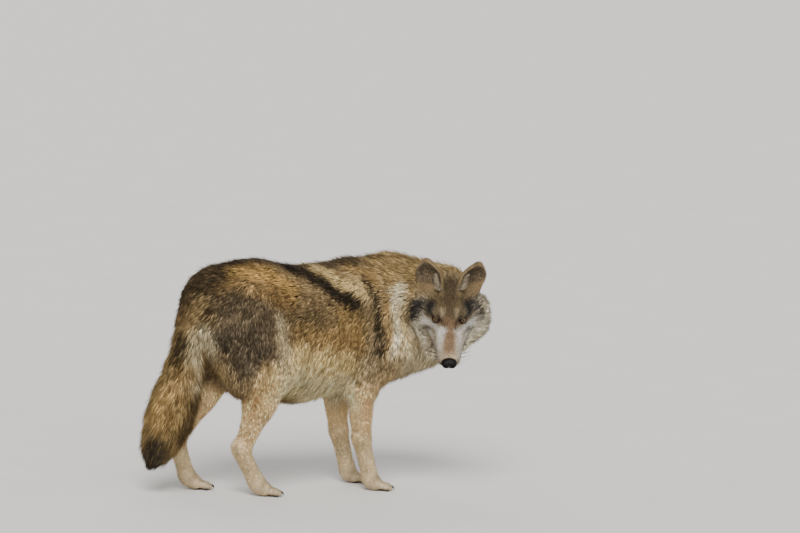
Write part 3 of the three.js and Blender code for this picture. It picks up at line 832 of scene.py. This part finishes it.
def lobe_part(each):
    """The name of the part that a lobe belongs to."""
    middle = (each.a + each.b) / 2
    side_name = "left" if middle[1] > 0 else "right"
    if each.kind in ("back", "rump", "chest"):
        return "trunk"
    if each.kind in ("neck", "tail"):
        return each.kind
    if each.kind == "ear":
        return "ear_" + ("left" if head_local(middle) @ ACROSS > 0 else "right")
    if each.kind in ("shoulder", "foreleg") or (each.kind in ("shin", "paw") and middle[0] > 0):
        return "foreleg_" + side_name
    return "hindleg_" + side_name if each.kind in ("thigh", "hindleg", "shin", "paw") else "head"


def part_of(p):
    """The part whose lobe is nearest, as an index into PARTS."""
    best = np.full(len(p), 1e9)
    part = np.zeros(len(p), int)
    for each in LOBES:
        d = lobe_distance(p, each)
        closer = d < best
        best[closer] = d[closer]
        part[closer] = PARTS.index(lobe_part(each))
    return part


def unwrap(p, line):
    """The angle about a part's middle line and the length along it."""
    line = np.array(line, float)
    best = np.full(len(p), 1e9)
    along = np.zeros(len(p))
    out = np.zeros((len(p), 3))
    start = 0.0
    for a, b in zip(line, line[1:]):
        length = np.linalg.norm(b - a)
        t, away = beside(p, a, b)
        d = (away**2).sum(1)
        closer = d < best
        best[closer], along[closer], out[closer] = d[closer], (start + t * length)[closer], away[closer]
        start += length
    whole = unit(line[-1] - line[0])
    first = unit(np.cross(whole, ACROSS if abs(whole[1]) < 0.8 else UP))
    return np.arctan2(out @ np.cross(whole, first), out @ first), along


# ---------------------------------------------------------------- materials
def material(name, rough, colour=None, dapple=0.12, dapple_scale=70, bump=0.0, bump_scale=300, specular=0.5,
             coat=0.0):
    """A principled surface: painted colours or one colour, broken up by noise, with noise bump."""
    m = bpy.data.materials.new(name)
    m.use_nodes = True
    nodes, links = m.node_tree.nodes, m.node_tree.links

    def node(kind, inputs=(), feed=None, into=None):
        """A new node with input values, and one input fed by another node's output."""
        made = nodes.new("ShaderNode" + kind)
        for key, value in dict(inputs).items():
            made.inputs[key].default_value = value
        if into:
            links.new(feed, made.inputs[into])
        return made

    shader = nodes["Principled BSDF"]
    for key, value in {"Specular IOR Level": specular, "Coat Weight": coat, "Coat Roughness": 0.05}.items():
        shader.inputs[key].default_value = value
    place = node("TexCoord").outputs["Object"]
    noise = node("TexNoise", {"Scale": dapple_scale, "Detail": 4}, place, "Vector").outputs["Fac"]
    spread = node("MapRange", {"From Min": 0.3, "From Max": 0.7, "To Min": 1 - dapple, "To Max": 1 + dapple},
                  noise, "Value")
    mix = node("Mix")
    mix.data_type = "RGBA"
    mix.blend_type = "MULTIPLY"
    mix.inputs["Factor"].default_value = 1.0
    if colour is None:
        paint = node("VertexColor")
        paint.layer_name = "Coat"
        links.new(paint.outputs["Color"], mix.inputs["A"])
    else:
        mix.inputs["A"].default_value = (*hex_colour(colour), 1)
    links.new(spread.outputs["Result"], mix.inputs["B"])
    links.new(mix.outputs["Result"], shader.inputs["Base Color"])
    least, most = max(rough - 0.08, 0.02), min(rough + 0.08, 1)
    gloss = node("MapRange", {"To Min": least, "To Max": most}, noise, "Value")
    links.new(gloss.outputs["Result"], shader.inputs["Roughness"])
    if bump:
        grain = node("TexNoise", {"Scale": bump_scale, "Detail": 6}, place, "Vector").outputs["Fac"]
        raised = node("Bump", {"Strength": bump, "Distance": 0.002}, grain, "Height")
        links.new(raised.outputs["Normal"], shader.inputs["Normal"])
    return m


COAT = material("coat_hair", 0.7, dapple=0.2, dapple_scale=160, specular=0.12)
SKIN = material("skin_short_fur", 0.85, bump=0.7, bump_scale=350, specular=0.1)
HORN = material("claw_horn", 0.35, "1f1a16", dapple=0.3, bump=0.2, bump_scale=200)
NOSE = material("nose_leather", 0.32, "060404", dapple=0.25, dapple_scale=200, bump=0.6, bump_scale=900,
                specular=0.16)
PAD = material("pad_leather", 0.7, "2a2523", dapple=0.3, bump=1.0, bump_scale=700)
LIP = material("lip_skin", 0.35, "32201d", dapple=0.25, dapple_scale=150, bump=0.4, bump_scale=500)
EYE = material("eye_wet", 0.1, coat=0.4, dapple=0.1, dapple_scale=600, specular=0.15)
WHISKER = material("whisker_hair", 0.4, "2a2420", dapple=0.2)


# ---------------------------------------------------------------- skin
FLOOR_GAP = 1.5


def lids(side):
    """Rings of points round an eye, from the lids' edge out to where they sink under the skin."""
    centre, middle, across, above = eye_frame(side)
    turns, cos, sin = round_turns(56)
    slant = math.radians(LID_SLANT)
    opening = 1 / np.hypot(cos / math.radians(LID_WIDE), sin / math.radians(LID_HIGH))
    opening = opening * (1 + 0.1 * np.cos(2 * turns)[:, None])
    out = np.cos(turns + slant)[:, None] * across + np.sin(turns + slant)[:, None] * above
    rings = []
    for extra, rise in LID_RINGS:
        angle = np.minimum(opening + math.radians(extra), math.radians(96))
        rings.append(centre + (EYE_SHOWN + rise) * (np.cos(angle) * middle + np.sin(angle) * out))
    rings[-1] = settle(skin_field, rings[-1], -1.2, 4, 7)
    return np.vstack(rings), ring_faces(len(rings), len(turns), side < 0)


def lid_place(p, side):
    """How far out each place is from an eye's middle, where 1 is the lids' edge."""
    centre, middle, across, above = eye_frame(side)
    away = p - centre
    cos, sin = math.cos(math.radians(LID_SLANT)), math.sin(math.radians(LID_SLANT))
    u, v = away @ across, away @ above
    wide, high = (EYE_SHOWN * math.sin(math.radians(angle)) for angle in (LID_WIDE, LID_HIGH))
    return np.hypot((u * cos + v * sin) / wide, (v * cos - u * sin) / high) + 10 * (away @ middle < -8)


def by_lids(p):
    """The same from the nearer eye."""
    return np.minimum(lid_place(p, -1), lid_place(p, 1))


def make_skin():
    xs = stops(-545, 625, 6.0, [(285, 625, 3.0), (255, 365, 3.5), (-185, -80, 3.5), (-330, -225, 3.5)])
    ys = stops(-345, 195, 6.0, [(-345, -80, 3.0), (-80, -45, 3.5), (38, 115, 3.5)])
    zs = stops(-9, 770, 6.0, [(-9, 65, 3.5), (400, 770, 3.0)])
    points, quads = nets(skin_field, (xs, ys, zs))
    points = settle(skin_field, points, 0, 2, 3)
    points[:, 2] = np.maximum(points[:, 2], FLOOR_GAP)
    return points, quads


skin_points, skin_quads = make_skin()


# ---------------------------------------------------------------- coat
LONG_HAIR = 24  # longer tufts have a bend in the middle, and vary more in shade
ROOT_DEPTH = 1.5  # a tuft starts this deep in the skin
LOCK_SIZES = (17, 7)  # of long hair and of short hair
LOCK_HASH = np.array([73856093, 19349663, 83492791])
STRAY_SHARE = 0.2  # so many tufts stand out of the coat, by STRAY_MOST at most
STRAY_MOST = 13
TIP_MOST = 16  # a tip or a middle farther out of the coat than this is laid back
MIDDLE_MOST = 4
DARK_TIP = 0.42
FRINGE_TUFTS = 240


def scatter(points, quads, values):
    """Roots spread over the skin by the wanted number per square centimetre."""
    triangles = np.vstack([quads[:, [0, 1, 2]], quads[:, [0, 2, 3]]])
    a, b, c = (points[triangles[:, i]] for i in range(3))
    area = np.linalg.norm(np.cross(b - a, c - a), axis=1) / 2
    wanted = area / 100 * values[triangles, 3].mean(1) * thinning(points)[triangles].mean(1)
    edges = np.floor(np.cumsum(wanted) + rng.random()).astype(int)
    counts = np.diff(edges, prepend=0)
    face = np.repeat(np.arange(len(triangles)), counts)
    u, v = rng.random((2, len(face)))
    flip = u + v > 1
    u[flip], v[flip] = 1 - u[flip], 1 - v[flip]
    weights = np.stack([1 - u - v, u, v], 1)
    return triangles[face], weights


def thinning(p):
    """Nought where no hair grows: eyes, nose, lips, the soles and deep in the ears."""
    keep = fade(p[:, 2], 4, 9)
    for side in SIDES.values():
        keep *= fade(lid_place(p, side), 1.15, 1.45)
        keep *= 1 - 0.55 * fade(-field(p, HOLLOWS[side]), -6, 2)
    near_nose = np.linalg.norm((head_local(p) - NOSE_AT) / (1.0, 1.5, 1.0), axis=1)
    keep *= fade(near_nose, 13.5, 16)
    for run in lip_lines():
        keep *= 1 - stroke_mask(p, run, 1.6)
    return keep


MOUTH = [(187, 0, -31), (176, 9, -36), (158, 16, -40), (128, 22, -44), (96, 30, -48), (66, 38, -48)]


def lip_lines():
    """The line of the mouth on each side, from under the nose back to its corner."""
    return [settle(skin_field, np.array([in_head(x, y * s, z) for x, y, z in MOUTH]), 0, 4, 8)
            for s in SIDES.values()]


def tuft_points(base, middle, tips, sideways, normal, foot):
    """Three points at a tuft's root, three at its middle and one at its tip."""
    return np.stack([base + sideways * foot, base - sideways * foot, base + normal * 0.5,
                     middle + sideways, middle - sideways, middle + normal * 0.6, tips], 1)


def hair_flow(roots, normal, lobes_flow, hang):
    """The way each tuft lies, along the skin."""
    flow = unit(lobes_flow)
    flow[:, 2] -= hang * 1.3 * fade(roots[:, 2], 660, 430)
    flow = unit(flow)
    curl = warp_x(roots * 1.6)[:, None] * np.cross(normal, flow)
    flow = flow + 0.09 * curl + 0.06 * rng.normal(size=roots.shape)
    return unit(flow - (flow * normal).sum(1)[:, None] * normal)


def grow():
    """The roots of all tufts, their points and colours, and whether each is short."""
    values, _, _ = lobe_mix(skin_points)
    _, normals = slope(skin_field, skin_points)
    normals = unit(normals)
    corners, weights = scatter(skin_points, skin_quads, values)
    blend = lambda data: (data[corners] * weights[..., None]).sum(1)
    roots = blend(skin_points)
    normal = unit(blend(normals))
    count = len(roots)
    values, flow, hair = lobe_mix(roots)
    depth, length, width, _, hang = values.T
    flow = hair_flow(roots, normal, flow, hang)

    # locks: neighbouring tufts share a length, a shade and a place that their tips lean to
    size = np.where(length > 30, *LOCK_SIZES)
    wobble = 6 * np.stack([fleck(roots), streak(roots), warp_y(roots * 3)], 1)
    cell = np.floor((roots + wobble) / size[:, None])
    key = (cell @ LOCK_HASH).astype(np.int64)
    _, lock = np.unique(key, return_inverse=True)
    locks = lock.max() + 1
    lock_long = rng.uniform(0.85, 1.15, locks)[lock]
    lock_shade = rng.normal(0, 0.17, locks)[lock]
    lock_lift = rng.normal(0, 1, locks)[lock]
    length = length * lock_long * rng.uniform(0.75, 1.2, count) * (0.3 + 0.7 * fade(by_lids(roots), 1.2, 2.6))
    way = unit(flow + rng.normal(0, 0.07, locks)[lock][:, None] * np.cross(normal, flow))

    # each tuft bends from its root in the skin to a tip near the coat's outline, some of them standing out
    ahead = lambda along, out: roots + way * length[:, None] * along + normal * depth[:, None] * out
    base = roots - normal * ROOT_DEPTH
    middle = settle(body_field, ahead(0.42, 0.4), -0.42 * depth, 1, 30)
    tip_level = depth * (-0.14 + 0.10 * lock_lift + 0.12 * rng.normal(size=count))
    stray = (rng.random(count) < STRAY_SHARE) * rng.uniform(0.2, 0.75, count)
    tip_level = np.clip(tip_level + stray * depth, -0.6 * depth, np.minimum(0.7 * depth, STRAY_MOST))
    tips = settle(body_field, ahead(0.95, 0.6), tip_level, 2, 30)
    for place, pull in ((middle, 0.1), (tips, 0.26)):
        for axis in range(3):
            mean = np.bincount(lock, place[:, axis], locks) / np.bincount(lock, minlength=locks)
            place[:, axis] += pull * (mean[lock] - place[:, axis])
    for place, share in ((middle, 0.65), (tips, 1.2)):
        reach = np.linalg.norm(place - base, axis=1)
        place += (base - place) * np.maximum(1 - share * length / reach, 0)[:, None]

    # tufts that stand too far out, or reach over an eye, are laid back
    proud = np.flatnonzero(body_field(tips) > TIP_MOST)
    tips[proud] = middle[proud] + (middle[proud] - base[proud]) * 0.4
    proud = np.flatnonzero(body_field(middle) > MIDDLE_MOST)
    middle[proud] = base[proud] + normal[proud] * 2
    tips[proud] = base[proud] + normal[proud] * 4
    over_eye = np.flatnonzero(by_lids(tips) < 1.08)
    tips[over_eye] = base[over_eye] + (tips[over_eye] - base[over_eye]) * 0.35
    middle[over_eye] = (base[over_eye] + tips[over_eye]) / 2
    middle[:, 2] = np.maximum(middle[:, 2], 2 * FLOOR_GAP)
    tips[:, 2] = np.maximum(tips[:, 2], FLOOR_GAP)
    half = (width * rng.uniform(0.75, 1.25, count) / 2)[:, None]
    sideways = unit(np.cross(normal, middle - base))
    points = tuft_points(base, middle, tips, sideways * half, normal * half, 0.9)

    # short hair is coloured at its root and long hair where it shows; each tuft's foot is painted darker, as
    # shade deep in the coat
    long = length > LONG_HAIR
    shown = np.where((length > 26)[:, None], middle * 0.6 + tips * 0.4, roots)
    colour = markings(shown + rng.normal(size=(count, 3)) * 0.15 * length[:, None], hair)
    shade = np.exp(np.where(long, 1, 0.4) * (lock_shade + rng.normal(0, 0.26, count)))[:, None]
    dark = (rng.random(count) < colour[:, 6])[:, None]
    root, tip = colour[:, :3] * shade, colour[:, 3:6] * shade
    tip = np.where(dark, tip * DARK_TIP, tip)
    # painted shade: the foot of each tuft is darkened, most among long hair, so the gaps deep in the coat
    # look shaded
    foot = root * np.where(long, 0.5, 0.85)[:, None]
    colours = np.stack([*[foot] * 3, *[root * 0.65 + tip * 0.35] * 3, tip], 1)
    more = ear_fringe()
    roots, points, colours = (np.concatenate(pair) for pair in zip((roots, points, colours), more))
    short = np.concatenate([length < LONG_HAIR, np.zeros(len(more[0]), bool)])
    return roots, points, np.clip(colours, 0, 1), short


def ear_fringe():
    """Long pale tufts from the inner edge of each ear across its cup."""
    out = []
    n = FRINGE_TUFTS
    column = lambda lo, hi: rng.uniform(lo, hi, n)[:, None]
    for side in SIDES.values():
        base, middle, tip, rise, facing = ear_frame(side)
        inward = unit(np.cross(rise, facing)) * (1 if np.cross(rise, facing)[1] * side < 0 else -1)
        along = rng.beta(1.0, 1.6, n)[:, None] * 0.62 - 0.12
        radius = EAR["r"] - 6 + (EAR["tip_r"] - EAR["r"]) * along
        swing = column(0.15, 1.05)
        spot = base + (tip - base) * along + rise * 6 + radius * (inward * np.cos(swing * 0.9))
        spot = spot + facing * (2 + 8 * np.sin(swing))
        way = rise * 0.75 - inward * column(0.1, 0.9) + facing * column(0.0, 0.35)
        way = unit(way + 0.12 * rng.normal(size=(n, 3))) @ HEAD
        reach = way * (column(16, 30) * (1 - 0.4 * along))
        root = settle(body_field, HEAD_AT + HEAD_SCALE * spot @ HEAD, -2.0, 3, 12)
        normal = facing @ HEAD
        half = column(0.6, 1.0)
        points = tuft_points(root, root + reach * 0.5 + normal * 1.5, root + reach + normal * 0.5,
                             unit(np.cross(normal, way)) * half, normal * half, 1)
        shade = np.exp(rng.normal(-0.1, 0.3, n))[:, None, None]
        out.append((root, points, hex_colour(EAR_TUFT[0]) * shade * np.ones((1, 7, 1))))
    return [np.concatenate(group) for group in zip(*out)]


TUFT = np.array([
    (0, 1, 4), (0, 4, 3), (1, 2, 5), (1, 5, 4), (2, 0, 3), (2, 3, 5), (3, 4, 6), (4, 5, 6), (5, 3, 6),
    (2, 1, 0),
])
SPIKE = np.array([(0, 1, 3), (1, 2, 3), (2, 0, 3), (2, 1, 0)])  # a short straight tuft
SPIKE_POINTS = [0, 1, 2, 6]
PATCH = np.array([(-1, -1), (1, -1), (0, -0.8), (-0.7, 0), (0.7, 0), (0, 0.2), (0, 1)]) * 0.0015
MOST_TRIANGLES = 190000
SKIN_PAINTED_SHADE = 0.5  # painted shade: the skin is darkened below the hair on it, as if shaded by the coat
LID_DARK, LID_INNER = "1d1713", "3f241b"


def add_coat():
    """The tufts as pieces by part, in runs along each part's middle line."""
    roots, points, colours, short = grow()
    part = part_of(roots)
    for index, name in enumerate(PARTS):
        mine = np.flatnonzero(part == index)
        angle, along = unwrap(roots[mine], LINES[name])
        order = np.argsort(along, kind="stable")
        mine, angle, along = mine[order], angle[order], along[order]
        cost = np.cumsum(np.where(short[mine], len(SPIKE), len(TUFT)))
        pieces = max(1, math.ceil(cost[-1] / MOST_TRIANGLES))
        share = np.minimum(((cost - 1) * pieces) // cost[-1], pieces - 1)
        for number in range(pieces):
            picks = share == number
            own, turn, run = mine[picks], angle[picks] / (2 * math.pi) + 0.5, along[picks]
            place = 0.01 + 0.98 * np.stack([turn, (run - run.min()) / np.ptp(run)], 1)
            shapes, paints, uvs = [], [], []
            for few, corners, shape in ((False, list(range(7)), TUFT), (True, SPIKE_POINTS, SPIKE)):
                these = short[own] == few
                tufts = own[these]
                faces = shape + len(corners) * np.arange(len(tufts))[:, None, None]
                shapes.append((points[tufts][:, corners].reshape(-1, 3), faces.reshape(-1, 3)))
                paints.append(colours[tufts][:, corners].reshape(-1, 3))
                uvs.append((place[these][:, None] + PATCH[corners]).reshape(-1, 2))
            piece = smooth_mesh(f"coat_{name}_{number + 1}", *join(shapes), COAT)
            paint_mesh(piece, np.vstack(paints))
            store_uv(piece, np.vstack(uvs))
            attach(piece, "root")
            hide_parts(*NODES[name])


NODES = {name: [name] for name in PARTS}
for side_name in SIDES:
    NODES["foreleg_" + side_name].append("paw_fore_" + side_name)
    NODES["hindleg_" + side_name].append("paw_hind_" + side_name)


def add_skin():
    """The skin with its lids. Rim says how much a point belongs to a lid's dark edge."""
    shapes, rim = [(skin_points, skin_quads)], [np.zeros(len(skin_points))]
    for side in SIDES.values():
        shapes.append(lids(side))
        rim.append(np.repeat(LID_RIM, len(shapes[-1][0]) // len(LID_RIM)))
    points, faces = join(shapes)
    rim = np.concatenate(rim)[:, None]
    _, _, hair = lobe_mix(points)
    # painted shade: the skin's colours are darkened, as shade under the coat
    colour = markings(points, hair)[:, :3] * SKIN_PAINTED_SHADE
    inner = fade(rim, 0.92, 1.0)
    lid = hex_colour(LID_DARK) * (1 - inner) + hex_colour(LID_INNER) * inner
    colour = colour * (1 - rim) + lid * rim
    piece = smooth_mesh("skin", points, faces, SKIN)
    paint_mesh(piece, colour)
    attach(piece, "root")
    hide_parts(*[node for nodes in NODES.values() for node in nodes])


# ---------------------------------------------------------------- eyes, nose, lips, claws, pads
IRIS, PUPIL, IRIS_EDGE = "5f4a2e", "0c0907", "231812"
EYE_RINGS = (1.5, 5, 9, 12, 13.5, 15, 18, 22, 26, 30, 34, 37, 39, 41, 44, 50, 60, 75, 90, 110, 135, 160, 178)


def add_eye(side):
    """An eyeball in rings of degrees from its gaze: pupil, amber iris, dark rim and a bulging cornea."""
    centre, middle, across, above = eye_frame(side)
    gaze = unit(middle + 0.45 * TO_CAMERA)
    wide = unit(across - across @ gaze * gaze)
    high = np.cross(gaze, wide)
    turns, cos, sin = round_turns(64)
    rays = 0.82 + 0.18 * np.sin(turns * 23 + 2 * np.sin(turns * 5)) * np.sin(turns * 11)
    points, colours = [], []
    for degrees in EYE_RINGS:
        angle = math.radians(degrees)
        ring = math.cos(angle) * gaze + math.sin(angle) * (cos * wide + sin * high)
        points.append(centre + (EYE_SHOWN + 0.9 * fade(degrees, 46, 20)) * ring)
        amber = hex_colour(IRIS) * rays[:, None] * (0.75 + 0.4 * fade(degrees, 30, 16))
        pupil = 1 - fade(degrees, 12.5, 15)
        rim = fade(degrees, 27, 33)
        iris = amber * (1 - pupil) * (1 - rim)
        colours.append(iris + hex_colour(PUPIL) * pupil + hex_colour(IRIS_EDGE) * rim)
    faces = ring_faces(len(points), len(turns), np.cross(wide, high) @ gaze > 0)
    piece = smooth_mesh("eyeball_left" if side > 0 else "eyeball_right", np.vstack(points), faces, EYE)
    paint_mesh(piece, np.clip(np.vstack(colours), 0, 1))
    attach(piece, "root")
    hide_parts("eye_left" if side > 0 else "eye_right")


def capsule(p, a, b, r):
    return np.linalg.norm(beside(p, np.array(a, float), np.array(b, float))[1], axis=1) - r


def egg(p, middle, radii):
    """Roughly the distance to an ellipsoid."""
    return (np.linalg.norm((p - middle) / radii, axis=1) - 1) * radii[0]


def nose_field(q):
    """The nose pad in the head's axes, with nostrils, side slits and the groove between."""
    q = np.stack([q[:, 0], np.abs(q[:, 1]), q[:, 2]], 1)
    pad = soft_min(egg(q, NOSE_AT, (15, 23, 16)), egg(q, (189, 9, -12), (8, 12, 12)), 5)
    nostril = capsule(q, (197, 10, -13), (185, 12, -12), 4.0)
    slit = capsule(q, (193, 13, -14), (186, 23, -18), 2.4)
    groove = capsule(q, (199, 0, -6), (191, 0, -32), 1.7)
    return -soft_min(-pad, np.minimum(np.minimum(nostril, slit), groove), 2.5)


def add_nose():
    step = 1.1
    axes = [np.arange(lo, hi, step) for lo, hi in ((160, 204), (-28, 28), (-36, 9))]
    points, quads = nets(nose_field, axes, 3)
    piece = smooth_mesh("nose_pad", HEAD_AT + HEAD_SCALE * points @ HEAD, quads, NOSE)
    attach(piece, "root")
    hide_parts("nose")


def tube(line, radii, around=8):
    """A closed tube along a line."""
    ways = unit(np.gradient(line, axis=0))
    first = unit(np.cross(ways, unit([0.31, 0.27, 0.91])))
    second = np.cross(ways, first)
    _, cos, sin = round_turns(around)
    rings = line[:, None] + radii[:, None, None] * (cos * first[:, None] + sin * second[:, None])
    return rings.reshape(-1, 3), ring_faces(len(line), around)


def curve(points, count):
    """A smooth run through points."""
    points = np.array(points, float)
    t = np.linspace(0, len(points) - 1, count)
    i = np.clip(t.astype(int), 0, len(points) - 2)
    u = (t - i)[:, None]
    padded = np.vstack([2 * points[0] - points[1], points, 2 * points[-1] - points[-2]])
    a, b, c, d = (padded[i + k] for k in range(4))
    return 0.5 * (2 * b + (c - a) * u + (2 * a - 5 * b + 4 * c - d) * u**2 + (3 * b - a - 3 * c + d) * u**3)


def add_lips():
    steps = np.linspace(0, 1, 30)
    radii = np.interp(steps, [0, 0.15, 0.7, 1], [3.4, 3.0, 1.8, 0.4])
    piece = smooth_mesh("lips", *join([tube(curve(run, len(steps)), radii) for run in lip_lines()]), LIP)
    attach(piece, "root")


def add_claws():
    claws, pads = [], []
    for joints in (FORE, HIND):
        for side_name in SIDES:
            knuckle, toe = (np.array(joints[side_name][k], float) for k in ("knuckle", "toe"))
            for splay, place in toes(knuckle, toe):
                line = [place(ahead, splay, z) for ahead, z in ((9, 14), (17, 13.5), (23, 10), (26.5, 4.5))]
                claws.append(tube(curve(line, 9), np.linspace(3.4, 0.5, 9)))
                pads.append(pad_egg(place(-2, splay, 3), (8, 6, 3)))
            pads.append(pad_egg(toe_place(knuckle, toe, -24, 0, 4.5), (13, 16, 4.5)))
    for name, shapes, look in (("claws", claws, HORN), ("pads", pads, PAD)):
        piece = smooth_mesh(name, *join(shapes), look)
        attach(piece, "root")


def pad_egg(middle, radii):
    """A low rounded pad, flat underneath at the floor."""
    around, rings = 20, 11
    _, cos, sin = round_turns(around)
    points = np.vstack([
        np.hstack([math.cos(lift) * cos, math.cos(lift) * sin, np.full((around, 1), math.sin(lift))])
        for lift in np.radians(np.linspace(-84, 84, rings))
    ]) * radii + middle
    points[:, 2] = np.maximum(points[:, 2], 0)
    return points, ring_faces(rings, around)


def add_whiskers():
    whiskers = []
    for s in SIDES.values():
        for row, i in np.ndindex(3, 4):
            start = in_head(166 - 13 * i, s * (15 + 2 * i), -16 - 7 * row)
            root = settle(skin_field, start[None], 0, 3, 6)[0]
            out = unit(turned(-0.25 - 0.12 * i, s, -0.25 - 0.12 * row))
            long = 34 + 4 * i
            line = [root - out * 2, root + out * long * 0.4, root + out * long * 0.75 + turned(-5, 0, -4),
                    root + out * long + turned(-14, 0, -11)]
            whiskers.append(tube(curve(line, 8), np.linspace(0.5, 0.12, 8), 5))
    piece = smooth_mesh("whiskers", *join(whiskers), WHISKER)
    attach(piece, "root")


add_skin()
add_coat()
for side in SIDES.values():
    add_eye(side)
add_nose()
add_lips()
add_claws()
add_whiskers()


# ---------------------------------------------------------------- floor and light
FLOOR_HALF = 150


def add_floor():
    mesh = bpy.data.meshes.new("floor")
    corners = [(x * FLOOR_HALF, y * FLOOR_HALF, 0) for x, y in ((-1, -1), (1, -1), (1, 1), (-1, 1))]
    mesh.from_pydata(corners, [], [(0, 1, 2, 3)])
    mesh.materials.append(material("floor_pale", 0.9, "d6d3cd", dapple=0.02, dapple_scale=3))
    floor = bpy.data.objects.new("floor", mesh)
    bpy.context.collection.objects.link(floor)


def add_light(name, place, power, spread):
    """A soft far light from a place, spread over some degrees of sky."""
    light = bpy.data.objects.new(name, bpy.data.lights.new(name, "SUN"))
    light.data.energy = power
    light.data.angle = math.radians(spread)
    z = unit(np.array(place, float) - (0, 0, 0.4))
    x = unit(np.cross(UP, z))
    aim(light, x, np.cross(z, x), z, place)


add_floor()
add_light("key", (-3.0, -3.6, 4.0), 4.2, 25)
add_light("fill", (-1.0, -4.0, 0.9), 1.3, 60)
add_light("back", (1.5, 4.0, 3.5), 0.7, 60)
world = bpy.data.worlds.new("sky")
world.use_nodes = True
sky = world.node_tree.nodes["Background"].inputs
sky["Color"].default_value = (0.95, 0.97, 1.0, 1)
sky["Strength"].default_value = 0.6
bpy.context.scene.world = world
